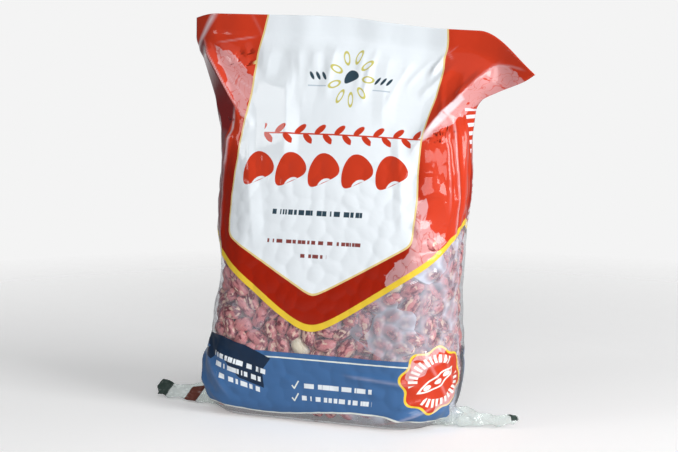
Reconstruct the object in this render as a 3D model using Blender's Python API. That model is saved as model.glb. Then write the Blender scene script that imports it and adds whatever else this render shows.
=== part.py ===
"""Bag of dried beans: a clear film tube, sealed flat along the top, full and standing on its end.

The whole bag is one closed solid. It is a box cage that is wrapped round the bag's own sections:
round and full below, pressed into a flat seal above, with a shoulder facet on each side, a drooping
right ear, a left corner that curls back, and two thin ears of folded film at the floor.
Units are metres, +Z is up, and the printed front faces -Y.
"""

import math

import bmesh
import bpy
import numpy as np

NAME = "bag"

# The film tube
FLAT_WIDTH = 0.226
SEAL_TOP = 0.2395
SEAL_FOOT = 0.228
SEAL_HALF_THICKNESS = 0.0008

# Sections from the floor up, each as (height on the film, size)
SIDE_RIGHT = ((0, 0.066), (0.004, 0.071), (0.012, 0.077), (0.032, 0.0795), (0.055, 0.077), (0.085, 0.0745),
              (0.115, 0.0738), (0.14, 0.0764), (0.165, 0.0764), (0.19, 0.0785), (0.2005, 0.082),
              (0.2115, 0.091), (0.2215, 0.100), (0.231, 0.108), (SEAL_TOP, FLAT_WIDTH / 2))
SIDE_LEFT = ((0, 0.070), (0.004, 0.075), (0.012, 0.080), (0.028, 0.082), (0.046, 0.0768), (0.066, 0.0757),
             (0.08, 0.0728), (0.095, 0.0742), (0.112, 0.0772), (0.15, 0.078), (0.17, 0.082), (0.19, 0.090),
             (0.215, 0.102), (SEAL_FOOT, 0.108), (SEAL_TOP, 0.108))
FRONT_RIGHT = ((0, 0.042), (0.012, 0.048), (0.06, 0.049), (0.11, 0.0515), (0.165, 0.057), (0.183, 0.064),
               (0.195, 0.073), (0.207, 0.081), (0.218, 0.091), (0.230, 0.104), (SEAL_TOP, 0.110))
FRONT_LEFT = ((0, 0.045), (0.012, 0.050), (0.06, 0.048), (0.11, 0.048), (0.15, 0.054), (0.17, 0.062),
              (0.19, 0.072), (0.215, 0.090), (SEAL_FOOT, 0.100), (SEAL_TOP, 0.103))
HALF_DEPTH = ((0, 0.025), (0.004, 0.0295), (0.012, 0.033), (0.05, 0.035), (0.09, 0.0345), (0.13, 0.031),
              (0.16, 0.0255), (0.19, 0.0175), (0.215, 0.0080), (SEAL_FOOT, 0.0012),
              (SEAL_TOP, SEAL_HALF_THICKNESS))
CORNER_BOW = ((0, 2.3), (0.05, 2.3), (0.11, 2.2), (0.16, 1.9), (0.19, 1.3), (0.215, 1.2), (SEAL_TOP, 1.2))
LEAN_RIGHT = ((0, 0), (0.06, 0.003), (0.12, 0.008), (0.19, 0.011), (SEAL_TOP, 0.012))

# How the top hangs
TILT_START = 0.150
TILT_END = 0.232
TILT_RIGHT = 0.045
TILT_LEFT = 0.020
SAG_RIGHT = 0.0045
SAG_FROM = -0.02
SAG_TO = 0.06
EAR_FOOT = 0.186
EAR_INSIDE = 0.70
EAR_OUTSIDE = 1.12
EAR_DROP = 0.0285
EAR_GROWTH = 1.4
EAR_FORWARD = 0.012
EAR_OUT = 0.002
CURL_DROP = 0.005
CURL_BACK = 0.012
CURL_IN = 0.004

# The fold of the right ear, from the front panel up to the ear's tip, as (x, height on the film)
FOLD_LOW = (0.052, 0.163)
FOLD_HIGH = (0.088, 0.210)
FOLD_RISE = 0.0022
FOLD_WIDTH = 0.010

# Thin ears of folded film at the floor, and how far each reaches past the body's side
EAR_HEIGHT = 0.013
EAR_ROOT = 0.84
EAR_LEFT = 0.044
EAR_RIGHT = 0.037
EAR_THINNING = 0.93
EAR_SLOPE = 0.45

# The middle of the box round the bag, which becomes the origin
CENTRE_X = 0.0032

# Cage
CUTS_ACROSS = 37
CUTS_DEEP = 1
CUTS_UP = 37
EDGE_COLUMN = 0.955
ROW_HEIGHTS = ((0, 0), (0.10, 0.012), (0.22, 0.035), (0.92, SEAL_FOOT), (1, SEAL_TOP))
CORNER_STEPS = 60

FILM_COLOUR = (0.72, 0.25, 0.17, 1.0)
FILM_ROUGHNESS = 0.25


def ramp(value, low, high):
    """Smooth step from 0 at low to 1 at high."""
    t = min(max((value - low) / (high - low), 0.0), 1.0)
    return t * t * (3 - 2 * t)


def curve(height, stations):
    """Value at a height on a smooth line through the stations, which never overshoots them."""
    xs = np.array([s[0] for s in stations], float)
    ys = np.array([s[1] for s in stations], float)
    step = np.diff(xs)
    rise = np.diff(ys) / step
    slope = np.zeros_like(ys)
    slope[0] = rise[0]
    slope[-1] = rise[-1]
    for i in range(1, len(xs) - 1):
        if rise[i - 1] * rise[i] > 0:
            before = 2 * step[i] + step[i - 1]
            after = step[i] + 2 * step[i - 1]
            slope[i] = (before + after) / (before / rise[i - 1] + after / rise[i])
    height = min(max(height, xs[0]), xs[-1])
    i = min(max(int(np.searchsorted(xs, height)) - 1, 0), len(step) - 1)
    t = (height - xs[i]) / step[i]
    return ((1 + 2 * t) * (1 - t) ** 2 * ys[i] + t * (1 - t) ** 2 * step[i] * slope[i]
            + t * t * (3 - 2 * t) * ys[i + 1] + t * t * (t - 1) * step[i] * slope[i + 1])


def quarter(height, right):
    """Quarter of a section from the middle of the panel to the side fold: x, y and length along it."""
    side = curve(height, SIDE_RIGHT if right else SIDE_LEFT)
    front = curve(height, FRONT_RIGHT if right else FRONT_LEFT)
    depth = curve(height, HALF_DEPTH)
    power = 2 / curve(height, CORNER_BOW)
    angle = np.linspace(math.pi / 2, 0, CORNER_STEPS)
    x = np.concatenate([[0.0], front + (side - front) * np.cos(angle) ** power])
    y = np.concatenate([[depth], depth * np.sin(angle) ** power])
    length = np.concatenate([[0.0], np.cumsum(np.hypot(np.diff(x), np.diff(y)))])
    return x, y, length


def fold_relief(x, height):
    """How far the fold of the right ear stands out of the front panel: a crest, then a drop below it."""
    run = (FOLD_HIGH[0] - FOLD_LOW[0], FOLD_HIGH[1] - FOLD_LOW[1])
    size = math.hypot(*run)
    along = ((x - FOLD_LOW[0]) * run[0] + (height - FOLD_LOW[1]) * run[1]) / size ** 2
    across = ((height - FOLD_LOW[1]) * run[0] - (x - FOLD_LOW[0]) * run[1]) / size
    ends = ramp(along, -0.15, 0.25) * (1 - ramp(along, 0.85, 1.25))
    crest = math.exp(-(across / FOLD_WIDTH) ** 2) if across > 0 else math.exp(-(2 * across / FOLD_WIDTH) ** 2)
    hollow = math.exp(-((across + FOLD_WIDTH) / FOLD_WIDTH) ** 2)
    return FOLD_RISE * ends * (crest - 0.8 * hollow)


def film_point(right, front, reach, height):
    """A point of the bag.

    right and front choose the quarter, reach goes from 0 in the middle of the panel to 1 at the side
    fold, and height is measured on the film.
    """
    xs, ys, length = quarter(height, right)
    x = float(np.interp(reach * length[-1], length, xs))
    y = float(np.interp(reach * length[-1], length, ys))
    z = height
    if front and right:
        y += fold_relief(x, height)
    if not right:
        x = -x
    if front:
        y = -y

    # The seal slopes down to the right, its right ear droops, and its left corner curls back
    top = ramp(height, TILT_START, TILT_END)
    z -= top * ((TILT_RIGHT if right else TILT_LEFT) * x + SAG_RIGHT * ramp(x, SAG_FROM, SAG_TO))
    if right:
        rise = max((height - EAR_FOOT) / (SEAL_TOP - EAR_FOOT), 0.0)
        fall = rise ** EAR_GROWTH * ramp(reach, EAR_INSIDE, EAR_OUTSIDE)
        z -= fall * EAR_DROP
        x += fall * EAR_OUT
        y -= fall * EAR_FORWARD
    else:
        curl = top * ramp(reach, 0.80, 1.15)
        z -= curl * CURL_DROP
        y += curl * CURL_BACK
        x += curl * CURL_IN

    # The ears of folded film at the floor
    thin = ramp(reach, EAR_ROOT, 1.0) * (1 - ramp(height, 0.5 * EAR_HEIGHT, EAR_HEIGHT))
    x += (EAR_RIGHT if right else -EAR_LEFT) * thin ** 2
    y = y * (1 - EAR_THINNING * thin) + EAR_SLOPE * thin * height
    return x + curve(height, LEAN_RIGHT) - CENTRE_X, y, z


def wrap(co):
    """Moves a point of the box cage, whose sides run from -1 to 1, onto the bag."""
    height = curve((co.z + 1) / 2, ROW_HEIGHTS)
    right = co.x > 0
    if abs(co.x) > 0.999 and abs(co.y) < 0.5:
        return film_point(right, True, 1.0, height)
    reach = abs(co.x) * EDGE_COLUMN
    front = film_point(right, True, reach, height)
    back = film_point(right, False, reach, height)
    t = (co.y + 1) / 2
    return tuple(f + (b - f) * t for f, b in zip(front, back))


def build_bag():
    """The bag's mesh: a box, cut into rows and columns and wrapped onto the sections."""
    bm = bmesh.new()
    bmesh.ops.create_cube(bm, size=2.0)
    for axis, cuts in enumerate((CUTS_ACROSS, CUTS_DEEP, CUTS_UP)):
        edges = [e for e in bm.edges if abs(e.verts[0].co[axis] - e.verts[1].co[axis]) > 0.001]
        bmesh.ops.subdivide_edges(bm, edges=edges, cuts=cuts, use_grid_fill=True)
    for vert in bm.verts:
        vert.co = wrap(vert.co)
    bmesh.ops.recalc_face_normals(bm, faces=bm.faces)
    mesh = bpy.data.meshes.new(NAME)
    bm.to_mesh(mesh)
    bm.free()
    mesh.shade_smooth()
    return mesh


def film_material():
    """Glossy film, in the mean colour of the print and of the beans behind it."""
    material = bpy.data.materials.new("film")
    material.use_nodes = True
    shader = material.node_tree.nodes["Principled BSDF"]
    shader.inputs["Base Color"].default_value = FILM_COLOUR
    shader.inputs["Roughness"].default_value = FILM_ROUGHNESS
    shader.inputs["Metallic"].default_value = 0.0
    return material


def main():
    for old in list(bpy.data.objects):
        bpy.data.objects.remove(old, do_unlink=True)
    collection = bpy.data.collections.new("bag_of_dried_beans")
    bpy.context.scene.collection.children.link(collection)
    bag = bpy.data.objects.new(NAME, build_bag())
    bag.data.materials.append(film_material())
    collection.objects.link(bag)


main()
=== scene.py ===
"""Looks of a full bag of dried beans, standing on its folded end.

The bag is a tube of clear film. Its print is a red field with a yellow edge and a blue band round the
foot, a white shield and a scalloped badge in front, and rows and a table behind. Mottled beans show
through the clear film under the print. The film repeats the sections that the bag's solid is made from,
on a finer mesh with gathers, creases and the lumps of the beans that press on it.
"""

from __future__ import annotations

import logging
import math
from dataclasses import dataclass, field
from enum import Enum

import bmesh
import bpy
import numpy as np
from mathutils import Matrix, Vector, noise


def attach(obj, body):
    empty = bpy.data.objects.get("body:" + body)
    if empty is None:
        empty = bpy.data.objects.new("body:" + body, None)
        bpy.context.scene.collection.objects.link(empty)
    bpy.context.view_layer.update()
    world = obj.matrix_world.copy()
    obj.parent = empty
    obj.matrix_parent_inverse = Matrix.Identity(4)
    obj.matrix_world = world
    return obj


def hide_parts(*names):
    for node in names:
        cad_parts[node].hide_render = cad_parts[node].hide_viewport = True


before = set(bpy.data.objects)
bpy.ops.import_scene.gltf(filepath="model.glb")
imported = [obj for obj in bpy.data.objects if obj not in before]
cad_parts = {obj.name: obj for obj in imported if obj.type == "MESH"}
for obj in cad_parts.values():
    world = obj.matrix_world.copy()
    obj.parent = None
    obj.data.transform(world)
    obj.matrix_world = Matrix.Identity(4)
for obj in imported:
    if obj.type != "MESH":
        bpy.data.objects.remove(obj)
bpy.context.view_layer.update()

log = logging.getLogger("bag_of_beans")

BODY = "root"
NODE = "bag"
MM = 1000.0

Stations = tuple[tuple[float, float], ...]
Colour = tuple[float, float, float]


def smooth_step(value: np.ndarray, low: float, high: float) -> np.ndarray:
    """Step softly from 0 at low to 1 at high.

    Args:
        value: The numbers to step.
        low: Where the step starts.
        high: Where the step ends.

    Returns:
        Numbers from 0 to 1, as many as there are values.
    """
    t = np.clip((value - low) / (high - low), 0.0, 1.0)
    return t * t * (3 - 2 * t)


def smooth_line(at: np.ndarray, stations: Stations) -> np.ndarray:
    """Read a smooth line through stations that never overshoots them.

    Args:
        at: Where to read the line.
        stations: Pairs of place and value, in rising order of place.

    Returns:
        The line's values.
    """
    xs = np.array([s[0] for s in stations], float)
    ys = np.array([s[1] for s in stations], float)
    step = np.diff(xs)
    rise = np.diff(ys) / step
    slope = np.zeros_like(ys)
    slope[0], slope[-1] = rise[0], rise[-1]
    for i in range(1, len(xs) - 1):
        if rise[i - 1] * rise[i] > 0:
            before = 2 * step[i] + step[i - 1]
            after = step[i] + 2 * step[i - 1]
            slope[i] = (before + after) / (before / rise[i - 1] + after / rise[i])
    at = np.clip(at, xs[0], xs[-1])
    i = np.clip(np.searchsorted(xs, at) - 1, 0, len(step) - 1)
    t = (at - xs[i]) / step[i]
    return ((1 + 2 * t) * (1 - t) ** 2 * ys[i] + t * (1 - t) ** 2 * step[i] * slope[i]
            + t * t * (3 - 2 * t) * ys[i + 1] + t * t * (t - 1) * step[i] * slope[i + 1])


def unit(vectors: np.ndarray) -> np.ndarray:
    """Scale vectors, held in the last axis, to length 1."""
    return vectors / np.maximum(np.linalg.norm(vectors, axis=-1, keepdims=True), 1e-12)


def finished_mesh(bm: bmesh.types.BMesh, name: str) -> bpy.types.Mesh:
    """Turn an edit mesh into a mesh of this name, and let the edit mesh go.

    Args:
        bm: The edit mesh.
        name: The new mesh's name.

    Returns:
        The new mesh.
    """
    mesh = bpy.data.meshes.new(name)
    bm.to_mesh(mesh)
    bm.free()
    return mesh


def write_spots(bm: bmesh.types.BMesh, layer: bmesh.types.BMLayerItem,
                spots: dict[bmesh.types.BMVert, tuple[float, float]]) -> None:
    """Write each vertex's place on the flat film into a UV layer.

    Args:
        bm: The edit mesh.
        layer: The UV layer.
        spots: The place of each vertex.
    """
    for face in bm.faces:
        for loop in face.loops:
            loop[layer].uv = spots[loop.vert]


def new_piece(name: str, mesh: bpy.types.Mesh, material: bpy.types.Material) -> bpy.types.Object:
    """Put a mesh into the scene as a piece that stands for some of the bag's solid.

    Args:
        name: The piece's name.
        mesh: Its mesh, in place.
        material: Its finish.

    Returns:
        The new object, which rides on the bag's body.
    """
    mesh.materials.append(material)
    mesh.shade_smooth()
    piece = bpy.data.objects.new(name, mesh)
    bpy.context.scene.collection.objects.link(piece)
    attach(piece, BODY)
    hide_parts(NODE)
    log.info("%s: %d faces", name, len(mesh.polygons))
    return piece


@dataclass(frozen=True)
class BagForm:
    """The bag's own sections, as its solid has them, and how its top hangs. Lengths are in metres."""

    flat_width: float = 0.226
    seal_top: float = 0.2395
    seal_foot: float = 0.228
    side_right: Stations = (
        (0, 0.066), (0.004, 0.071), (0.012, 0.077), (0.032, 0.0795), (0.055, 0.077), (0.085, 0.0745),
        (0.115, 0.0738), (0.14, 0.0764), (0.165, 0.0764), (0.19, 0.0785), (0.2005, 0.082), (0.2115, 0.091),
        (0.2215, 0.100), (0.231, 0.108), (0.2395, 0.113))
    side_left: Stations = (
        (0, 0.070), (0.004, 0.075), (0.012, 0.080), (0.028, 0.082), (0.046, 0.0768), (0.066, 0.0757),
        (0.08, 0.0728), (0.095, 0.0742), (0.112, 0.0772), (0.15, 0.078), (0.17, 0.082), (0.19, 0.090),
        (0.215, 0.102), (0.228, 0.108), (0.2395, 0.108))
    front_right: Stations = (
        (0, 0.042), (0.012, 0.048), (0.06, 0.049), (0.11, 0.0515), (0.165, 0.057), (0.183, 0.064),
        (0.195, 0.073), (0.207, 0.081), (0.218, 0.091), (0.230, 0.104), (0.2395, 0.110))
    front_left: Stations = (
        (0, 0.045), (0.012, 0.050), (0.06, 0.048), (0.11, 0.048), (0.15, 0.054), (0.17, 0.062),
        (0.19, 0.072), (0.215, 0.090), (0.228, 0.100), (0.2395, 0.103))
    half_depth: Stations = (
        (0, 0.025), (0.004, 0.0295), (0.012, 0.033), (0.05, 0.035), (0.09, 0.0345), (0.13, 0.031),
        (0.16, 0.0255), (0.19, 0.0175), (0.215, 0.0080), (0.228, 0.0012), (0.2395, 0.0008))
    corner_bow: Stations = (
        (0, 2.3), (0.05, 2.3), (0.11, 2.2), (0.16, 1.9), (0.19, 1.3), (0.215, 1.2), (0.2395, 1.2))
    lean_right: Stations = ((0, 0), (0.06, 0.003), (0.12, 0.008), (0.19, 0.011), (0.2395, 0.012))
    tilt_start: float = 0.150
    tilt_end: float = 0.232
    tilt_right: float = 0.045
    tilt_left: float = 0.020
    sag_right: float = 0.0045
    sag_from: float = -0.02
    sag_to: float = 0.06
    ear_foot: float = 0.186
    ear_inside: float = 0.70
    ear_outside: float = 1.12
    ear_drop: float = 0.0285
    ear_growth: float = 1.4
    ear_forward: float = 0.012
    ear_out: float = 0.002
    curl_drop: float = 0.005
    curl_back: float = 0.012
    curl_in: float = 0.004
    fold_low: tuple[float, float] = (0.052, 0.163)
    fold_high: tuple[float, float] = (0.088, 0.210)
    fold_rise: float = 0.0022
    fold_width: float = 0.010
    corner_height: float = 0.013
    corner_root: float = 0.84
    corner_pull: float = 0.009
    corner_thinning: float = 0.55
    corner_slope: float = 0.30
    seal_press: float = 0.60
    seal_wave: float = 0.0005
    centre_x: float = 0.0032
    arc_steps: int = 60

    @property
    def half(self) -> float:
        """Half the flat width: how far a side fold is from a panel's middle on the film."""
        return self.flat_width / 2

    def across(self, along: np.ndarray) -> np.ndarray:
        """Signed distance from a panel's middle line, right positive, for places round the tube."""
        return np.where(along > self.half, self.flat_width - along, along)

    def quarter(self, heights: np.ndarray, right: bool) -> tuple[np.ndarray, np.ndarray, np.ndarray]:
        """Quarter sections from the middle of the panel to the side fold.

        Args:
            heights: Heights on the film, one a section.
            right: Whether it is the right half of the bag.

        Returns:
            x, y and the length along the section, each with a row for every height.
        """
        side = smooth_line(heights, self.side_right if right else self.side_left)[:, None]
        front = smooth_line(heights, self.front_right if right else self.front_left)[:, None]
        depth = smooth_line(heights, self.half_depth)[:, None]
        power = 2 / smooth_line(heights, self.corner_bow)[:, None]
        angle = np.linspace(math.pi / 2, 0, self.arc_steps)[None, :]
        x = np.hstack([0 * front, front + (side - front) * np.abs(np.cos(angle)) ** power])
        y = np.hstack([depth, depth * np.abs(np.sin(angle)) ** power])
        steps = np.hypot(np.diff(x, axis=1), np.diff(y, axis=1))
        length = np.hstack([0 * front, np.cumsum(steps, axis=1)])
        return x, y, length

    def fold_relief(self, x: np.ndarray, heights: np.ndarray) -> np.ndarray:
        """How far the fold of the right ear stands out of the front panel.

        Args:
            x: Distance to the right of the panel's middle.
            heights: Heights on the film.

        Returns:
            The relief: a crest along the fold, and a hollow below it.
        """
        run = (self.fold_high[0] - self.fold_low[0], self.fold_high[1] - self.fold_low[1])
        size = math.hypot(*run)
        dx, dz = x - self.fold_low[0], heights - self.fold_low[1]
        along = (dx * run[0] + dz * run[1]) / size ** 2
        over = (dz * run[0] - dx * run[1]) / size
        ends = smooth_step(along, -0.15, 0.25) * (1 - smooth_step(along, 0.85, 1.25))
        crest = np.exp(-(np.where(over > 0, over, 2 * over) / self.fold_width) ** 2)
        hollow = np.exp(-((over + self.fold_width) / self.fold_width) ** 2)
        return self.fold_rise * ends * (crest - 0.8 * hollow)

    def places(self, along: np.ndarray, heights: np.ndarray, squeeze: np.ndarray) -> np.ndarray:
        """Places of the film on a grid.

        Args:
            along: Places round the tube, from the left fold over the front and back to the left fold.
            heights: Heights on the film, one a row.
            squeeze: For each row, 1 for the open tube and 0 where both panels meet in its middle.

        Returns:
            An array of rows by columns by 3.
        """
        across = self.across(along)
        reach = np.abs(across) / self.half
        right = across > 0
        front = along <= self.half
        x = np.zeros((len(heights), len(along)))
        y = np.zeros_like(x)
        for side in (True, False):
            columns = np.flatnonzero(right == side)
            qx, qy, length = self.quarter(heights, side)
            for row in range(len(heights)):
                at = reach[columns] * length[row, -1]
                x[row, columns] = np.interp(at, length[row], qx[row])
                y[row, columns] = np.interp(at, length[row], qy[row])
        h = heights[:, None]
        y += np.where(front & right, self.fold_relief(x, h), 0.0)
        x = np.where(right, x, -x)
        y = np.where(front, -y, y) * squeeze[:, None]
        y *= 1 - self.seal_press * smooth_step(h, self.seal_foot - 0.004, self.seal_foot + 0.002)

        top = smooth_step(h, self.tilt_start, self.tilt_end)
        tilt = np.where(right, self.tilt_right, self.tilt_left)
        z = h - top * (tilt * x + self.sag_right * smooth_step(x, self.sag_from, self.sag_to))
        rise = np.maximum((h - self.ear_foot) / (self.seal_top - self.ear_foot), 0.0) ** self.ear_growth
        fall = np.where(right, rise * smooth_step(reach, self.ear_inside, self.ear_outside), 0.0)
        curl = np.where(right, 0.0, top * smooth_step(reach, 0.80, 1.15))
        z -= fall * self.ear_drop + curl * self.curl_drop
        x += fall * self.ear_out + curl * self.curl_in
        y += curl * self.curl_back - fall * self.ear_forward
        wave = np.sin(52 * x + 0.8) + 0.7 * np.sin(131 * x + 2.1) + 0.3 * np.sin(283 * x)
        y += self.seal_wave * smooth_step(h, 0.185, self.seal_foot) * wave

        low = 1 - smooth_step(h, 0.5 * self.corner_height, self.corner_height)
        thin = smooth_step(reach, self.corner_root, 1.0) * low
        x += np.where(right, 1, -1) * self.corner_pull * thin ** 2
        y = y * (1 - self.corner_thinning * thin) + self.corner_slope * thin * h
        return np.stack([x + smooth_line(h, self.lean_right) - self.centre_x, y, z + 0 * x], axis=-1)


@dataclass(frozen=True)
class Crease:
    """A crease in the film, from one place to another, each as (along, height) on the film in mm.

    Its crest falls off over width to the left of the way from start to end, and over spread to the right.
    """

    start: tuple[float, float]
    end: tuple[float, float]
    rise: float
    width: float
    spread: float = 0.0
    # Painted highlight along the crest: its strength, and its width in mm.
    crest_sheen: float = 0.0
    sheen_width: float = 1.3

    def lift(self, along: np.ndarray, heights: np.ndarray) -> tuple[np.ndarray, np.ndarray]:
        """How far the crease lifts the film, and how much painted highlight lies along its crest.

        Args:
            along: Places round the tube in mm.
            heights: Heights on the film in mm.

        Returns:
            A relief in mm, with a sharp crest and flat flanks, that fades at both ends, and the painted
            highlight along the crest, from 0 to 1.
        """
        run = (self.end[0] - self.start[0], self.end[1] - self.start[1])
        size = math.hypot(*run)
        dx, dz = along - self.start[0], heights - self.start[1]
        part = (dx * run[0] + dz * run[1]) / size ** 2
        over = (dz * run[0] - dx * run[1]) / size
        ends = smooth_step(part, -0.12, 0.22) * (1 - smooth_step(part, 0.78, 1.12))
        flank = np.where(over > 0, over / self.width, -over / (self.spread or self.width))
        # Painted highlight along the crest, strongest on it and gone at its width from it.
        painted_sheen = self.crest_sheen * ends * np.maximum(1 - np.abs(over) / self.sheen_width, 0.0)
        return self.rise * ends * np.maximum(1 - flank, 0.0), painted_sheen


@dataclass(frozen=True)
class Facet:
    """A taut flat piece of film between two lines on it, each a row of (along, height) in mm."""

    near: Stations
    far: Stations
    fade: float = 0.12
    turns: int = 7

    def spots(self, quad: int, along: np.ndarray, heights: np.ndarray) -> tuple[np.ndarray, np.ndarray]:
        """Where places lie in one quad of the facet.

        Args:
            quad: The quad's number, from the lines' starts.
            along: Places round the tube in mm.
            heights: Heights on the film in mm.

        Returns:
            The part of the way along the lines, and the part of the way from the near line to the far one.
        """
        a, b = np.array(self.near[quad:quad + 2], float), np.array(self.far[quad:quad + 2], float)
        t, u = 0 * along + 0.5, 0 * along + 0.5
        for _ in range(self.turns):
            low = [a[0][k] + (a[1][k] - a[0][k]) * t for k in (0, 1)]
            high = [b[0][k] + (b[1][k] - b[0][k]) * t for k in (0, 1)]
            miss = [along - low[0] * (1 - u) - high[0] * u, heights - low[1] * (1 - u) - high[1] * u]
            by_t = [(a[1][k] - a[0][k]) * (1 - u) + (b[1][k] - b[0][k]) * u for k in (0, 1)]
            by_u = [high[k] - low[k] for k in (0, 1)]
            size = by_t[0] * by_u[1] - by_t[1] * by_u[0]
            size = np.where(np.abs(size) < 1e-6, 1e-6, size)
            t = (t + (miss[0] * by_u[1] - miss[1] * by_u[0]) / size).clip(-3, 4)
            u = (u + (miss[1] * by_t[0] - miss[0] * by_t[1]) / size).clip(-3, 4)
        return t, u

    def flatten(self, film: Film, places: np.ndarray) -> np.ndarray:
        """Pull the film straight between the two lines.

        Args:
            film: The film, for its grid.
            places: The film's places.

        Returns:
            The film's new places.
        """
        along = np.broadcast_to(film.along[None, :] * MM, places.shape[:2])
        heights = np.broadcast_to(film.heights[:, None] * MM, places.shape[:2])
        found = places.copy()
        quads = len(self.near) - 1
        corners = np.array(self.near + self.far)
        near_by = ((along > corners[:, 0].min()) & (along < corners[:, 0].max())
                   & (heights > corners[:, 1].min()) & (heights < corners[:, 1].max()))
        rows, columns = np.nonzero(near_by)
        for quad in range(quads):
            t, u = self.spots(quad, along[rows, columns], heights[rows, columns])
            inside = (t >= 0) & (t <= 1) & (u > 0) & (u < 1)
            r, c, t, u = rows[inside], columns[inside], t[inside], u[inside]
            ends = []
            for line in (self.near, self.far):
                start, end = np.array(line[quad], float), np.array(line[quad + 1], float)
                spot = start[None] + (end - start)[None] * t[:, None]
                ends.append(film.read(places, spot[:, 0] / MM, spot[:, 1] / MM))
            taut = ends[0] * (1 - u)[:, None] + ends[1] * u[:, None]
            part = (quad + t) / quads
            share = smooth_step(part, 0, self.fade) * (1 - smooth_step(part, 1 - self.fade, 1))
            found[r, c] += (taut - places[r, c]) * share[:, None]
        return found


@dataclass
class Film:
    """The film tube: its mesh follows the bag's form, with creases, gathers and the beans' lumps."""

    form: BagForm
    front_columns: int = 236
    back_columns: int = 132
    rows: int = 240
    floor_rows: int = 5
    floor_lift: float = 0.0006
    lump_rise: float = 0.50
    bulge_rise: float = 2.6
    bulge_width: float = 66.0
    bulge_heights: tuple[float, float] = (84, 130)
    swell_rise: float = 0.35
    swell_heights: tuple[float, float] = (60, 150)
    flat_from: tuple[float, float] = (214, 228)
    filled_to: float = 150.0
    seed: int = 11
    gathers: int = 130
    seal_share: float = 0.40
    side_share: float = 0.75
    front_share: float = 0.55
    creases: tuple[Crease, ...] = (
        Crease((-102.5, 225), (-75.5, 185.5), 3.2, 5, 12, 0.8, 0.9),
        Crease((-91, 222), (-59, 200), 1.5, 6, 14),
        Crease((-75, 186), (-62, 174), 1.2, 4, 8, 0.2),
        Crease((-84, 206), (-68, 190), 0.35, 1.5, 1.5, 0.3, 0.8),
        Crease((-78, 203), (-64, 196), 0.35, 1.5, 1.5, 0.3, 0.8),
        Crease((-38, 206), (-34, 156), 1.9, 10, 22),
        Crease((-92, 241), (-113, 217), 1.6, 3, 3, 1.0, 3.2),
        Crease((-67, 240), (-57, 224), 1.6, 4, 3, 0.1),
        Crease((-77, 184), (-86, 150), 1.5, 4, 4, 1.0, 1.8),
        Crease((-94, 172), (-88, 108), 1.6, 4, 4, 0.8, 1.4),
        Crease((-100, 166), (-96, 100), 1.6, 4, 4, 0.7, 1.4),
        Crease((-87, 160), (-82, 112), 1.3, 3, 4, 0.6, 1.3),
        Crease((-90, 222), (-64, 226), 0.5, 2, 2, 0.3, 0.8),
        Crease((-58, 227), (-34, 225), -0.9, 3, 3),
        Crease((-22, 232), (14, 238), 0.7, 5, 8),
        Crease((-66, 172), (-50, 108), 1.2, 9, 12),
        Crease((-50, 222), (-57, 184), 0.8, 8, 8),
        Crease((-20, 218), (-26, 182), 0.5, 8, 8),
        Crease((30, 224), (38, 178), 0.7, 10, 8),
        Crease((50, 176), (57, 118), 0.9, 8, 6),
        Crease((59, 161), (83, 190.5), 1.1, 6, 5, 0.4, 1.2),
        Crease((81, 187), (93.5, 204), 1.1, 6, 5, 0.5, 1.2),
        Crease((92, 200), (97, 228), 1.1, 5, 5, 0.3, 1.2),
        Crease((96, 226), (108, 236), 0.9, 3, 3, 0.3, 1.2),
        Crease((64, 229), (100, 237), -0.9, 2, 3),
        Crease((62, 229), (72, 222), 0.7, 2, 2, 0.2, 0.8),
        Crease((70, 230), (64, 221), 0.7, 2, 2, 0.15, 0.8),
        Crease((66, 228), (64, 212), 1.2, 3, 3, 0.1),
        Crease((62, 198), (76, 216), 0.9, 5, 5),
        Crease((91, 186), (94, 151), 1.8, 4, 4, 0.6, 1.2),
        Crease((94, 157), (100, 112), 1.8, 4, 4, 0.6, 1.2),
        Crease((86, 172), (90, 130), 1.2, 4, 4, 0.2),
        Crease((103, 182), (106, 114), 1.2, 4, 4, 0.1),
        Crease((69, 142), (84, 112), 1.0, 4, 5),
        Crease((73, 138), (86, 116), 1.0, 3, 5),
        Crease((64, 124), (84, 102), 0.9, 4, 4, 0.15),
        Crease((79, 134), (70, 104), 0.9, 3, 4),
        Crease((-61, 43), (-30, 22), -1.5, 5, 8),
        Crease((-88, 46), (-62, 14), 1.6, 4, 8, 0.1),
        Crease((-98, 40), (-80, 6), 1.5, 5, 6),
        Crease((-74, 41), (-46, 30), 1.2, 4, 4),
        Crease((-92, 22), (-66, 8), 1.2, 4, 4),
        Crease((24, 32), (70, 29), 1.0, 3, 4, 0.25),
        Crease((52, 3), (86, 16), 1.6, 4, 4, 0.35),
        Crease((60, 14), (80, 20), 0.8, 3, 3),
        Crease((75, 47), (97, 17), 1.4, 4, 6, 0.3),
        Crease((66, 37), (101, 45), 1.0, 3, 4, 0.2),
        Crease((88, 50), (105, 19), 1.2, 4, 4, 0.15),
        Crease((34, 42), (62, 46), 0.8, 3, 4),
    )
    facets: tuple[Facet, ...] = (
        Facet(((64.5, 168), (82, 189), (92, 201.5), (95.7, 215.5), (97, 227), (102, 233)),
              ((77.5, 175), (93, 184), (108, 191.5), (112.5, 203), (112.5, 217), (112.5, 231))),
        Facet(((-102, 225), (-89, 203.5), (-76, 185.5), (-71, 168)),
              ((-112, 222), (-106, 200), (-97, 182), (-90, 165))),
        Facet(((-92, 219), (-84, 206), (-75, 186), (-68, 178)),
              ((-76, 212), (-61.5, 201.7), (-64, 188), (-64, 177)), 0.3),
        Facet(((64.5, 139), (69, 120), (66.5, 101)), ((82, 141.5), (91, 120), (86, 103))),
        Facet(((-60, 206), (-60, 182), (-58, 156)), ((-38, 206), (-36, 182), (-34, 156))),
    )
    along: np.ndarray = field(init=False)
    heights: np.ndarray = field(init=False)
    base: np.ndarray = field(init=False)
    normal: np.ndarray = field(init=False)
    touch: np.ndarray = field(init=False)

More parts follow.
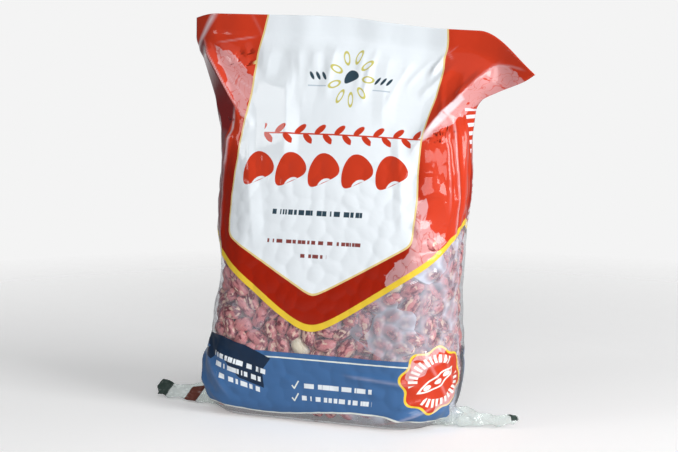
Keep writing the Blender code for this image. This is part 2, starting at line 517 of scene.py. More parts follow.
    def __post_init__(self) -> None:
        """Lay out the grid and the plain form, which the beans are packed against."""
        half = self.form.half
        front = np.linspace(-half, half, self.front_columns + 1)
        self.along = np.concatenate([front, np.linspace(half, 3 * half, self.back_columns + 1)[1:]])
        self.heights = np.linspace(0, self.form.seal_top, self.rows + 1)
        self.base = self.form.places(self.along, self.heights, np.ones(self.rows + 1))
        self.normal = self.normals_of(self.base)
        self.touch = np.zeros(self.base.shape[:2])

    def normals_of(self, places: np.ndarray) -> np.ndarray:
        """Outward normals of a grid of places, alike on both sides of the left fold."""
        normal = np.cross(np.gradient(places, axis=1), np.gradient(places, axis=0))
        normal[:, 0] = normal[:, -1] = unit(normal[:, 0]) + unit(normal[:, -1])
        return unit(normal)

    def nearest(self, along: np.ndarray, heights: np.ndarray) -> tuple[np.ndarray, np.ndarray]:
        """Rows and columns of the grid that are nearest to some places on the film."""
        column = np.searchsorted(self.along, along - 1e-9) % (len(self.along) - 1)
        row = np.clip(np.rint(heights / self.form.seal_top * self.rows).astype(int), 0, self.rows)
        return row, column

    def read(self, places: np.ndarray, along: np.ndarray, heights: np.ndarray) -> np.ndarray:
        """Read a grid of places between its lines.

        Args:
            places: The grid.
            along: Places round the tube.
            heights: Heights on the film.

        Returns:
            A place for each pair.
        """
        column = np.interp(along, self.along, np.arange(len(self.along))).clip(0, len(self.along) - 1.001)
        row = (heights / self.form.seal_top * self.rows).clip(0, self.rows - 0.001)
        left, low = column.astype(int), row.astype(int)
        over, up = (column - left)[:, None], (row - low)[:, None]
        lower = places[low, left] * (1 - over) + places[low, left + 1] * over
        upper = places[low + 1, left] * (1 - over) + places[low + 1, left + 1] * over
        return lower * (1 - up) + upper * up

    def press(self, beans: Packing) -> None:
        """Note where beans press on the film, from 0 between them to 1 over the middle of each.

        Args:
            beans: The beans that lie against the film.
        """
        reach, around = 12, len(self.along) - 1
        rows, columns = self.nearest(beans.along, beans.height)
        lengthwise, sideways = beans.directions(self)
        for i in range(beans.count):
            up = np.arange(max(rows[i] - reach, 0), min(rows[i] + reach + 1, self.rows + 1))
            window = np.ix_(up, np.arange(columns[i] - reach, columns[i] + reach + 1) % around)
            offset = self.base[window] - self.base[rows[i], columns[i]]
            along = offset @ lengthwise[i] / (0.56 * beans.size[i, 0])
            over = offset @ sideways[i] / (0.60 * beans.size[i, 1])
            lump = np.maximum(1 - along ** 2 - over ** 2, 0.0) ** 0.75 * beans.nearness[i]
            self.touch[window] = np.maximum(self.touch[window], lump)
        self.touch[:, -1] = self.touch[:, 0]

    def gather_creases(self) -> list[Crease]:
        """Random small creases: fine gathers under the seal, and crumples round the sides and foot.

        Returns:
            The creases, in mm on the flat film.
        """
        rng = np.random.default_rng(self.seed)
        found = []
        for _ in range(self.gathers):
            kind = rng.random()
            panel = 0.0 if rng.random() < self.front_share else 2 * self.form.half * MM
            if kind < self.seal_share:
                x = rng.uniform(-104, 104)
                top, length = rng.uniform(212, 226), rng.uniform(10, 34)
                end = (x * (1 - length / 220) + rng.uniform(-5, 5), top - length)
                found.append(Crease((panel + x, top), (panel + end[0], end[1]),
                                    rng.uniform(0.15, 0.5), rng.uniform(2.5, 5)))
            elif kind < self.side_share:
                x = rng.choice([-1, 1]) * rng.uniform(72, 112)
                z = rng.uniform(24, 190)
                lean, length = rng.uniform(-0.5, 0.5), rng.uniform(14, 40)
                end = (panel + x + lean * length, z + length)
                found.append(Crease((panel + x, z), end, rng.uniform(0.3, 0.8), rng.uniform(3, 6)))
            else:
                x, z = rng.uniform(-100, 100), rng.uniform(3, 52)
                turn, length = rng.uniform(-0.7, 0.7), rng.uniform(12, 34)
                end = (panel + x + length * math.cos(turn), z + length * math.sin(turn))
                found.append(Crease((panel + x, z), end, rng.uniform(0.2, 0.6), rng.uniform(2.5, 5)))
        return found

    def relief(self) -> tuple[np.ndarray, np.ndarray]:
        """How far the film stands out of the plain form, in metres, and how much painted highlight lies on
        its crests.

        Returns:
            The relief and the painted highlight, both by row and column of the film.
        """
        along = self.along[None, :] * MM
        heights = self.heights[:, None] * MM
        rise = np.zeros(self.base.shape[:2])
        crest_sheen = np.zeros_like(rise)
        for crease in (*self.creases, *self.gather_creases()):
            lifted, painted_sheen = crease.lift(along, heights)
            rise += lifted
            crest_sheen = np.maximum(crest_sheen, painted_sheen)
        swell = np.sin(along / 17 + 0.7) * np.sin(heights / 23 + along / 60)
        rise += self.swell_rise * swell * smooth_step(heights, *self.swell_heights)
        bulge = np.maximum(1 - (along / self.bulge_width) ** 2, 0.0)
        rise += self.bulge_rise * bulge * smooth_step(heights, *self.bulge_heights)
        rise *= smooth_step(heights, 0, 8) * (1 - smooth_step(heights, *self.flat_from))
        rise = np.where(heights < self.filled_to, np.maximum(rise, 0), rise)
        rise += self.lump_rise * self.touch * smooth_step(heights, 1, 7)
        for values in (rise, crest_sheen):
            values[:, 0] = values[:, -1] = (values[:, 0] + values[:, -1]) / 2
        return rise / MM, crest_sheen

    def build(self, material: bpy.types.Material) -> bpy.types.Object:
        """Make the film's piece, a closed tube that is shut along the floor and along the seal.

        Args:
            material: The printed film.

        Returns:
            The piece, which stands for the bag's solid.
        """
        rise, crest_sheen = self.relief()
        shaped = self.base + self.normal * rise[..., None]
        for facet in self.facets:
            shaped = facet.flatten(self, shaped)
        steps = np.arange(self.floor_rows) / self.floor_rows
        floor = self.form.places(self.along, np.zeros(self.floor_rows), steps)
        floor[..., 2] += self.floor_lift * (1 - steps)[:, None]
        seal = self.form.places(self.along, np.array([self.form.seal_top]), np.zeros(1))
        places = np.concatenate([floor, shaped, seal])
        under = -self.form.half_depth[0][1] * (1 - steps)
        heights = np.concatenate([under, self.heights, [self.form.seal_top + 0.0004]])
        touch = np.concatenate([0 * floor[..., 0], self.touch, 0 * seal[..., 0]])
        crest_sheen = np.concatenate([0 * floor[..., 0], crest_sheen, crest_sheen[-1:]])

        bm = bmesh.new()
        wide, high = len(self.along) - 1, len(heights) - 1
        bmesh.ops.create_grid(bm, x_segments=wide, y_segments=high, size=1.0)
        film_place = bm.loops.layers.uv.new("film_place")
        touching = bm.verts.layers.float.new("touch")
        # The painted highlight along crease crests, kept on each vertex for the material.
        painted_sheen = bm.verts.layers.float.new("crest_sheen")
        spots = {}
        for vert in bm.verts:
            cell = (round((vert.co.y + 1) / 2 * high), round((vert.co.x + 1) / 2 * wide))
            spots[vert] = (self.along[cell[1]], heights[cell[0]])
            vert[touching] = touch[cell]
            vert[painted_sheen] = crest_sheen[cell]
            vert.co = places[cell]
        write_spots(bm, film_place, spots)
        bmesh.ops.remove_doubles(bm, verts=bm.verts, dist=1e-6)
        return new_piece("film", finished_mesh(bm, "film"), material)


@dataclass
class Packing:
    """One layer of beans, packed side by side against the film."""

    count: int
    depth: float
    seed: int
    lowest: float = 0.008
    highest: float = 0.150
    rounds: int = 70
    start: float = -0.113
    end: float = 0.339
    around: float = 0.452
    bean_size: tuple[float, float, float] = (0.0142, 0.0088, 0.0076)
    along: np.ndarray = field(init=False)
    height: np.ndarray = field(init=False)
    turn: np.ndarray = field(init=False)
    size: np.ndarray = field(init=False)
    nearness: np.ndarray = field(init=False)

    def __post_init__(self) -> None:
        """Scatter the beans, with their sizes and turns."""
        rng = np.random.default_rng(self.seed)
        self.along = rng.uniform(self.start, self.end, self.count)
        self.height = rng.uniform(self.lowest, self.highest, self.count)
        self.turn = rng.uniform(0, math.pi, self.count)
        spread = rng.normal(1.0, 0.07, (self.count, 3)).clip(0.84, 1.18)
        self.size = np.array(self.bean_size) * spread
        self.nearness = rng.uniform(0.55, 1.0, self.count)

    def directions(self, film: Film) -> tuple[np.ndarray, np.ndarray]:
        """The lengthwise and the sideways direction of each bean, in the film's plane.

        Args:
            film: The film that the beans lie against.

        Returns:
            The two directions, a row for each bean.
        """
        row, column = film.nearest(self.along, self.height)
        normal = film.normal[row, column]
        level = unit(film.base[row, column + 1] - film.base[row, column])
        upward = np.cross(normal, level)
        cosine, sine = np.cos(self.turn)[:, None], np.sin(self.turn)[:, None]
        return cosine * level + sine * upward, cosine * upward - sine * level

    def centres(self, film: Film) -> np.ndarray:
        """The middle of each bean, under the film."""
        row, column = film.nearest(self.along, self.height)
        sink = self.depth + self.size[:, 2] / 2 + (1 - self.nearness) * 0.0016
        return film.base[row, column] - film.normal[row, column] * sink[:, None]

    def settle(self, film: Film) -> None:
        """Push the beans apart, each seen as two balls, until they lie side by side.

        Args:
            film: The film that the beans lie against.
        """
        for _ in range(self.rounds):
            middle = self.centres(film)
            lengthwise, _ = self.directions(film)
            row, column = film.nearest(self.along, self.height)
            normal = film.normal[row, column]
            level = unit(film.base[row, column + 1] - film.base[row, column])
            upward = np.cross(normal, level)
            lever = lengthwise * ((self.size[:, 0] - self.size[:, 1]) * 0.45)[:, None]
            balls = np.concatenate([middle + lever, middle - lever])
            radius = np.tile(self.size[:, 1] / 2, 2)
            owner = np.tile(np.arange(self.count), 2)
            gap = balls[:, None, :] - balls[None, :, :]
            apart = np.linalg.norm(gap, axis=2) + 1e-9
            overlap = radius[:, None] + radius[None, :] - apart
            overlap[(overlap < 0) | (owner[:, None] == owner[None, :])] = 0
            push = np.einsum("ij,ijk->ik", overlap / apart, gap) * 0.28
            twist = np.cross(np.concatenate([lever, -lever]), push)
            step = push[:self.count] + push[self.count:]
            self.along = self.along + np.einsum("ij,ij->i", step, level) * 1.1
            self.height = self.height + np.einsum("ij,ij->i", step, upward)
            spin = np.einsum("ij,ij->i", twist[:self.count] + twist[self.count:], normal)
            self.turn = self.turn + spin / 5e-5
            self.along = (self.along - self.start) % self.around + self.start
            self.height = self.height.clip(self.lowest, self.highest)


class BeanKind(Enum):
    """The kinds of bean in the bag, as (piece name, share of the beans)."""

    MOTTLED = ("beans_mottled", 0.985)
    PALE = ("beans_pale", 0.015)


@dataclass
class Beans:
    """The loose beans that show through the film, in two layers against it."""

    form: BagForm
    film: Film
    layers: tuple[Packing, ...] = field(default_factory=lambda: (
        Packing(count=590, depth=0.0006, seed=3), Packing(count=470, depth=0.0078, seed=8)))
    ring_steps: int = 13
    length_steps: int = 9
    bow: float = 0.24
    hollow: float = 0.20
    pale_place: tuple[float, float] = (-0.0125, 0.047)
    hidden_margin: float = 0.014
    floor_gap: float = 0.0012
    seed: int = 29

    def template(self) -> tuple[np.ndarray, list[tuple[int, ...]]]:
        """One bean of length 2 along X: its places and its faces, from a sphere.

        Returns:
            The places, and the faces as tuples of their numbers.
        """
        bm = bmesh.new()
        bmesh.ops.create_uvsphere(bm, u_segments=self.ring_steps, v_segments=self.length_steps, radius=1.0)
        bm.verts.ensure_lookup_table()
        places = np.array([(v.co.z, v.co.x, v.co.y) for v in bm.verts])
        faces = [tuple(v.index for v in face.verts) for face in bm.faces]
        bm.free()
        fuller = np.sign(places) * np.abs(places) ** 0.90
        fuller[:, 1] += self.hollow * np.exp(-(places[:, 0] / 0.34) ** 2) * (places[:, 1] < -0.2)
        return fuller, faces

    def shown(self, layer: Packing) -> np.ndarray:
        """Which beans of a layer lie where the clear film shows them.

        Args:
            layer: The layer of beans.

        Returns:
            True for each bean that shows.
        """
        across = np.abs(self.form.across(layer.along))
        edge = PrintLayout().edge_height(across * MM, layer.along > self.form.half) / MM
        under_print = layer.height > edge + self.hidden_margin
        under_band = (np.abs(layer.height - 0.026) < 0.006) & (across < 0.085)
        in_corner = (across > 0.092) & (layer.height < 0.020)
        return ~(under_print | under_band | in_corner)

    def build(self, materials: dict[BeanKind, bpy.types.Material]) -> list[bpy.types.Object]:
        """Make one piece for each kind of bean.

        Args:
            materials: The finish of each kind.

        Returns:
            The pieces.
        """
        rng = np.random.default_rng(self.seed)
        template, faces = self.template()
        middles, frames, sizes, kinds = [], [], [], []
        for number, layer in enumerate(self.layers):
            layer.settle(self.film)
            if number == 0:
                self.film.press(layer)
            lengthwise, sideways = layer.directions(self.film)
            out = np.cross(lengthwise, sideways)
            tip = rng.normal(0, 0.16 + 0.25 * number, (layer.count, 1))
            lengthwise = unit(lengthwise + tip * out)
            out = np.cross(lengthwise, sideways)
            keep = self.shown(layer)
            pale = rng.random(layer.count) < BeanKind.PALE.value[1]
            if number == 0:
                away = np.hypot(layer.along - self.pale_place[0], layer.height - self.pale_place[1])
                pale[np.argmin(away)] = True
            middles.append(layer.centres(self.film)[keep])
            flip = rng.choice([-1.0, 1.0], (layer.count, 1))
            frames.append(np.stack([lengthwise * flip, sideways * flip, out], axis=1)[keep])
            sizes.append(layer.size[keep])
            kinds.append(pale[keep])
        middle, axes = np.concatenate(middles), np.concatenate(frames)
        size, pale = np.concatenate(sizes), np.concatenate(kinds)
        pieces = []
        for kind in BeanKind:
            chosen = np.flatnonzero(pale == (kind is BeanKind.PALE))
            local = template[None] * size[chosen][:, None, :] / 2
            bow = self.bow * rng.uniform(0.5, 1.3, (len(chosen), 1)) / size[chosen][:, :1] * 2
            local[:, :, 1] += bow * (local[:, :, 0] ** 2 - (size[chosen][:, :1] / 4) ** 2)
            places = middle[chosen][:, None, :] + np.einsum("bvk,bkc->bvc", local, axes[chosen])
            sunk = self.floor_gap - places[:, :, 2].min(axis=1, keepdims=True)
            places[:, :, 2] += np.maximum(sunk, 0)
            skin = local + rng.uniform(-5, 5, (len(chosen), 1, 3))
            tone = np.repeat(rng.random(len(chosen)), len(template))
            numbered = [tuple(i + b * len(template) for i in face)
                        for b in range(len(chosen)) for face in faces]
            mesh = bpy.data.meshes.new(kind.value[0])
            mesh.from_pydata(places.reshape(-1, 3).tolist(), [], numbered)
            skin_at = mesh.attributes.new("skin_at", "FLOAT_VECTOR", "POINT")
            skin_at.data.foreach_set("vector", skin.astype(np.float32).ravel())
            bean_tone = mesh.attributes.new("bean_tone", "FLOAT", "POINT")
            bean_tone.data.foreach_set("value", tone.astype(np.float32))
            pieces.append(new_piece(kind.value[0], mesh, materials[kind]))
        return pieces


@dataclass
class Core:
    """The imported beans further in, as one lumpy body that fills the bag behind the loose beans."""

    form: BagForm
    film: Film
    inset: float = 0.0125
    highest: float = 0.146
    lump_size: float = 0.011
    lump_rise: float = 0.0035
    keep_every: int = 2

    def build(self, material: bpy.types.Material) -> bpy.types.Object:
        """Make the core's piece.

        Args:
            material: The finish of the beans, darkened as painted shade.

        Returns:
            The piece.
        """
        rows = np.flatnonzero((self.film.heights > self.inset * 0.8) & (self.film.heights < self.highest))
        rows = rows[::self.keep_every]
        columns = np.arange(0, len(self.film.along), self.keep_every)
        inner = (self.film.base - self.film.normal * self.inset)[np.ix_(rows, columns)]
        middle = inner.copy()
        middle[..., 1] = 0
        places = np.concatenate([middle[:1], inner, middle[-1:]])
        bm = bmesh.new()
        high, wide = places.shape[0] - 1, places.shape[1] - 1
        bmesh.ops.create_grid(bm, x_segments=wide, y_segments=high, size=1.0)
        for vert in bm.verts:
            vert.co = places[round((vert.co.y + 1) / 2 * high), round((vert.co.x + 1) / 2 * wide)]
        bmesh.ops.remove_doubles(bm, verts=bm.verts, dist=1e-5)
        bm.normal_update()
        for vert in bm.verts:
            near = noise.voronoi(vert.co / self.lump_size)[0][0]
            vert.co += vert.normal * self.lump_rise * (0.5 - near)
        return new_piece("bean_core", finished_mesh(bm, "bean_core"), material)


class EarSide(Enum):
    """The floor ears, as (piece name, root, tip, root height, tip height, curl of the tip)."""

    LEFT = ("ear_left", (-0.0700, -0.0130, 0.0), (-0.1232, -0.0045, 0.0), 0.0150, 0.0120, 0.0010)
    RIGHT = ("ear_right", (0.0640, -0.0100, 0.0), (0.1125, 0.0040, 0.0), 0.0150, 0.0070, 0.0016)


@dataclass
class Ear:
    """A flat ear of folded film that lies at the floor beside the bag."""

    side: EarSide
    long_steps: int = 64
    wide_steps: int = 22
    wall: float = 0.0005
    lean: float = 0.62
    lay: float = 0.0014
    lowest: float = 0.0004
    waist_depth: float = 0.30
    waist_at: float = 0.68
    waist_width: float = 0.16
    crumple_size: float = 0.0026
    fine_size: float = 0.0018
    seed: int = 5

    def build(self, material: bpy.types.Material) -> bpy.types.Object:
        """Make the ear: a crumpled leaf that narrows from its root, and has a wall.

        Args:
            material: Its finish.

        Returns:
            The piece.
        """
        name, root, tip, root_height, tip_height, curl = self.side.value
        bm = bmesh.new()
        bmesh.ops.create_grid(bm, x_segments=self.long_steps, y_segments=self.wide_steps, size=1.0)
        leaf = bm.loops.layers.uv.new("leaf")
        length = (Vector(tip) - Vector(root)).length
        spots = {}
        for vert in bm.verts:
            part, up = (vert.co.x + 1) / 2, (vert.co.y + 1) / 2
            waist = 1 - self.waist_depth * math.exp(-((part - self.waist_at) / self.waist_width) ** 2)
            height = (root_height + (tip_height - root_height) * part) * waist
            end_cut = 0.10 * abs(up - 0.45) * max(part - 0.80, 0) / 0.20
            spots[vert] = (part * length, up * height)
            line = Vector(root).lerp(Vector(tip), part * (1 - end_cut))
            crumple = noise.noise(Vector((part * 7, up * 2.3, self.seed))) * self.crumple_size
            fine = abs(noise.noise(Vector((part * 19 + up * 5, up * 6, self.seed)))) * self.fine_size
            lift = self.lay + curl * part ** 3 + up * height * (1 - self.lean * 0.45)
            line.z = max(lift + 0.35 * crumple, self.lowest)
            line.y += up * height * self.lean + crumple + fine
            vert.co = line
        write_spots(bm, leaf, spots)
        bmesh.ops.solidify(bm, geom=bm.faces[:], thickness=self.wall)
        bmesh.ops.recalc_face_normals(bm, faces=bm.faces)
        return new_piece(name, finished_mesh(bm, name), material)


@dataclass
class BackSeam:
    """The long seam down the back, where the film's two edges are welded into a flat fin."""

    form: BagForm
    width: float = 0.011
    low: float = 0.010
    high: float = 0.239
    gap: float = 0.0009
    lift: float = 0.0016
    wall: float = 0.0004
    long_steps: int = 150
    wide_steps: int = 6

    def build(self, material: bpy.types.Material) -> bpy.types.Object:
        """Make the fin, a strip that follows the back panel and lifts at its loose edge.

        Args:
            material: The printed film.

        Returns:
            The piece.
        """
        heights = np.linspace(self.low, self.high, self.long_steps + 1)
        start = self.form.flat_width
        along = np.linspace(start, start + self.width, self.wide_steps + 1)
        places = self.form.places(along, heights, np.ones(len(heights)))
        normal = unit(np.cross(np.gradient(places, axis=1), np.gradient(places, axis=0)))
        part = np.linspace(0, 1, self.wide_steps + 1)[None, :]
        wave = 0.6 + 0.4 * np.sin(heights * 210)[:, None] * np.sin(heights * 47)[:, None]
        places = places + normal * (self.gap + self.lift * part ** 2 * wave)[..., None]
        bm = bmesh.new()
        bmesh.ops.create_grid(bm, x_segments=self.wide_steps, y_segments=self.long_steps, size=1.0)
        film_place = bm.loops.layers.uv.new("film_place")
        spots = {}
        for vert in bm.verts:
            row = round((vert.co.y + 1) / 2 * self.long_steps)
            cell = (row, round((vert.co.x + 1) / 2 * self.wide_steps))
            spots[vert] = (along[cell[1]], heights[cell[0]])
            vert.co = places[cell]
        write_spots(bm, film_place, spots)
        bmesh.ops.solidify(bm, geom=bm.faces[:], thickness=self.wall)
        bmesh.ops.recalc_face_normals(bm, faces=bm.faces)
        return new_piece("back_seam", finished_mesh(bm, "back_seam"), material)


class Ink(Enum):
    """Colours of the print, and of the painted shade and painted sheen laid with it, as linear red, green
    and blue.
    """

    RED = (0.560, 0.040, 0.012)
    # Painted shade: the red where less light falls, low down and to the left.
    RED_PAINTED_SHADE = (0.340, 0.012, 0.001)
    WHITE = (0.800, 0.850, 0.890)
    GOLD = (0.780, 0.610, 0.260)
    YELLOW = (0.800, 0.560, 0.045)
    BLUE = (0.052, 0.140, 0.320)
    # Painted shade: the blue in the band's folds.
    BLUE_PAINTED_SHADE = (0.008, 0.024, 0.058)
    PALE = (0.780, 0.820, 0.760)
    NAVY = (0.030, 0.060, 0.085)
    MAROON = (0.230, 0.055, 0.050)
    OLIVE = (0.560, 0.520, 0.130)
    GREY = (0.480, 0.560, 0.640)
    GREEN = (0.036, 0.058, 0.050)
    BROWN = (0.130, 0.038, 0.026)
    # Pale pink white: painted sheen and painted highlights on the film, and the pale rows of print near
    # the right fold.
    PALE_PINK = (0.820, 0.720, 0.760)
    # Painted shade: the maroon of the top-left facet that faces away from the light.
    FOLD_PAINTED_SHADE = (0.150, 0.012, 0.018)
    # Painted shade and painted sheen: the unlit left flank with a grey mirrored sheen over it.
    FLANK_SHADE_AND_SHEEN = (0.230, 0.140, 0.150)


class Field:
    """A number that changes over the surface: a socket of a node tree that takes arithmetic."""

    def __init__(self, tree: bpy.types.NodeTree, socket: bpy.types.NodeSocket) -> None:
        """Hold the socket and the tree that it is in."""
        self.tree = tree
        self.socket = socket

    def math(self, operation: str, *others: Field | float, clamp: bool = False) -> Field:
        """Combine this field with others by one Math node.

        Args:
            operation: The node's operation.
            others: Further fields or plain numbers.
            clamp: Whether the result is held between 0 and 1.

        Returns:
            The result.
        """
        node = self.tree.nodes.new("ShaderNodeMath")
        node.operation = operation
        node.use_clamp = clamp
        for into, value in zip(node.inputs, (self, *others)):
            if isinstance(value, Field):
                self.tree.links.new(value.socket, into)
            else:
                into.default_value = value
        return Field(self.tree, node.outputs[0])

    def __add__(self, other: Field | float) -> Field:
        """Add."""
        return self.math("ADD", other)

    def __sub__(self, other: Field | float) -> Field:
        """Subtract."""
        return self.math("SUBTRACT", other)

    def __mul__(self, other: Field | float) -> Field:
        """Multiply."""
        return self.math("MULTIPLY", other)

    def __neg__(self) -> Field:
        """Turn the sign."""
        return self.math("MULTIPLY", -1.0)

    def __abs__(self) -> Field:
        """Take the size without the sign."""
        return self.math("ABSOLUTE")

    def lower(self, other: Field | float) -> Field:
        """The lower of two fields."""
        return self.math("MINIMUM", other)

    def higher(self, other: Field | float) -> Field:
        """The higher of two fields."""
        return self.math("MAXIMUM", other)

    def rounded_higher(self, other: Field | float, radius: float) -> Field:
        """The higher of two fields, rounded where they cross."""
        return self.math("SMOOTH_MAX", other, radius)

    def length_with(self, other: Field) -> Field:
        """The length of the arrow that has the two fields as its sides."""
        return (self * self + other * other).math("SQRT")

    def repeated(self, pitch: float) -> Field:
        """The place within a cell of a row of equal cells, from its middle."""
        return self.math("WRAP", pitch / 2, -pitch / 2)

    def inside(self, softness: float = 0.25) -> Field:
        """1 where this distance is below 0 and 0 where it is above, with a soft edge."""
        return (self * (-1.0 / softness)).math("ADD", 0.5, clamp=True)

    def inverse(self) -> Field:
        """1 less this field."""
        return self.math("MULTIPLY_ADD", -1.0, 1.0)


def turned(x: Field, y: Field, degrees: float) -> tuple[Field, Field]:
    """Turn a pair of coordinates about 0.

    Args:
        x: The first coordinate.
        y: The second coordinate.
        degrees: The turn.

    Returns:
        The two turned coordinates.
    """
    cosine, sine = math.cos(math.radians(degrees)), math.sin(math.radians(degrees))
    return x * cosine + y * sine, y * cosine - x * sine


def ellipse(x: Field, y: Field, across: float, up: float) -> Field:
    """Distance to an ellipse about 0 with these half sizes, below 0 inside it."""
    return ((x * (1 / across)).length_with(y * (1 / up)) - 1.0) * min(across, up)


def kidney(x: Field, y: Field, across: float, up: float, bow: float) -> Field:
    """Distance to a bean's outline about 0, bowed by a parabola, below 0 inside it."""
    return ellipse(x, y + x * x * bow - 0.35 * up, across, up)


def box(x: Field, y: Field, across: float, up: float) -> Field:
    """Distance to a box about 0 with these half sizes, below 0 inside it."""
    return (abs(x) - across).higher(abs(y) - up)


def mix_over(tree: bpy.types.NodeTree, below: bpy.types.NodeSocket | Colour, above: Colour,
             mask: bpy.types.NodeSocket) -> bpy.types.NodeSocket:
    """Lay a colour over another one where a mask is 1.

    Args:
        tree: The node tree.
        below: The colour that is there, as a socket or as plain linear colour.
        above: The colour to lay.
        mask: Where to lay it.

    Returns:
        The mixed colour.
    """
    node = tree.nodes.new("ShaderNodeMix")
    node.data_type = "RGBA"
    tree.links.new(mask, node.inputs[0])
    if isinstance(below, bpy.types.NodeSocket):
        tree.links.new(below, node.inputs[6])
    else:
        node.inputs[6].default_value = (*below, 1.0)
    node.inputs[7].default_value = (*above, 1.0)
    return node.outputs[2]


class Painter:
    """Lays inks over one another in a node tree."""

    def __init__(self, tree: bpy.types.NodeTree, ground: Ink) -> None:
        """Start from one ink that covers nothing yet."""
        self.tree = tree
        self.colour: bpy.types.NodeSocket | Colour = ground.value
        self.cover: Field | None = None

    def lay(self, ink: Ink, mask: Field) -> None:
        """Print an ink where the mask is 1, over what is there."""
        self.colour = mix_over(self.tree, self.colour, ink.value, mask.socket)
        self.cover = mask if self.cover is None else self.cover.higher(mask)


@dataclass(frozen=True)
class PrintLayout:
    """Where the print, the painted shade and the painted sheen lie on the film. Lengths are in mm: across
    from a panel's middle, and up.
    """

    fold: float = 113.0
    edge_at_fold: float = 121.5
    edge_round: float = 12.0
    edge_slope_front: float = 0.62
    edge_slope_back: float = 0.30
    edge_width: float = 3.6
    edge_upright: float = 0.86
    # Painted shade on the red: the heights, then the distances across, over which it fades out.
    shade_heights: tuple[float, float] = (146.0, 172.0)
    shade_fade_across: tuple[float, float] = (58.0, 78.0)
    shield_tip: tuple[float, float] = (-3.0, 79.2)
    shield_slope: float = 0.50
    shield_upright: float = 0.89
    shield_corner: float = 7.0
    shield_left: Stations = (
        (0, 70), (100, 70), (137, 71.8), (160, 70.5), (178, 67.5), (199, 62), (221, 59), (240, 54.5))
    shield_right: Stations = (
        (0, 63.5), (110, 64), (136, 65), (158, 65.5), (184, 70.8), (206, 72), (224, 65.2), (240, 59.5))
    outline: float = 1.2
    emblem: tuple[float, float] = (8.5, 204.0)
    band_top: float = 43.0
    band_end: float = 102.0
    # Painted shade: the folds at the band's left, darkened to deep navy.
    doubled: tuple[Stations, ...] = (
        ((-91, 49.5), (-84, 42), (-36, 30), (-30, 38.5), (-50, 45.5), (-68, 49.5)),
        ((-86, 37.5), (-76, 34), (-69, 41), (-78, 43.5)),
        ((-67, 38.5), (-52, 25), (-34, 20), (-35, 30.2)))
    # Painted shade: the top-left facet that faces away from the light.
    dark_fold: tuple[Stations, ...] = (
        ((-103, 225), (-114, 221), (-114, 170), (-92, 160), (-76, 184)),)
    # Painted shade and painted sheen on the left flank.
    veiled_fold: tuple[Stations, ...] = (
        ((-114, 104), (-84, 106), (-83, 120), (-87, 170), (-114, 178)),)
    # Painted sheen: where lamps mirror in the creased film, laid as pale patches.
    sheen_patches: tuple[Stations, ...] = (
        ((-92, 220.5), (-75, 185.5), (-68.5, 178), (-61.5, 201), (-75.5, 215)),
        ((64.5, 168), (77.5, 175), (93, 184), (82, 189)),
        ((82, 189), (93, 184), (108, 191.5), (92, 201.5)),
        ((92, 201.5), (108, 191.5), (115, 203), (115, 217), (95.7, 215.5)),
        ((95.7, 215.5), (115, 217), (115, 229), (102, 231), (97, 227)),
        ((64, 137), (65, 109), (75, 112), (74, 125), (72, 137)),
        ((57, 101), (60, 91), (79, 103), (91, 111.5), (82.5, 117), (74, 122)),
        ((46, 93), (50, 85.5), (62, 92), (60, 103)))
    # Painted highlight along the crest of the right ear.
    crest: tuple[Stations, ...] = (
        ((64.5, 168), (71, 171.5), (86.5, 186.5), (82, 189.5)),
        ((82, 189.5), (86.5, 186.5), (96.5, 198), (92, 201.5)))
    # Painted sheen on the badge.
    badge_sheen_patches: tuple[Stations, ...] = (
        ((62, 31), (77, 34), (80, 43), (66, 42)),
        ((70, 44), (80, 44), (97, 50), (90, 54), (74, 50)),
        ((84, 9), (97, 10), (112, 22), (108, 28), (88, 16)))
    side_rows: tuple[Stations, ...] = (
        ((99.5, 192), (113, 158), (116, 158), (116, 192)),)
    side_row_top: float = 185.8
    side_row_pitch: float = 5.65
    side_row_half: float = 1.3
    # Strengths of the painted sheen and of the painted crest highlight.
    sheen_share: float = 0.36
    crest_highlight_share: float = 0.75
    # Strength of the painted sheen on the badge.
    badge_sheen_share: float = 0.4
    fold_shade_share: float = 0.85
    flank_shade_and_sheen_share: float = 0.7
    ragged_scale: float = 120.0
    ragged_reach: float = 0.6
    badge: tuple[float, float] = (86.0, 31.0)
    badge_stretch: float = 1.28

    def edge_height(self, across: np.ndarray, back: np.ndarray) -> np.ndarray:
        """Height of the red field's lower edge.

        Args:
            across: Distance from the panel's middle in mm.
            back: Whether it is the back panel.

        Returns:
            The height in mm.
        """
        slope = np.where(back, self.edge_slope_back, self.edge_slope_front)
        full = math.hypot(self.fold, self.edge_round)
        return self.edge_at_fold - slope * (full - np.hypot(across, self.edge_round))


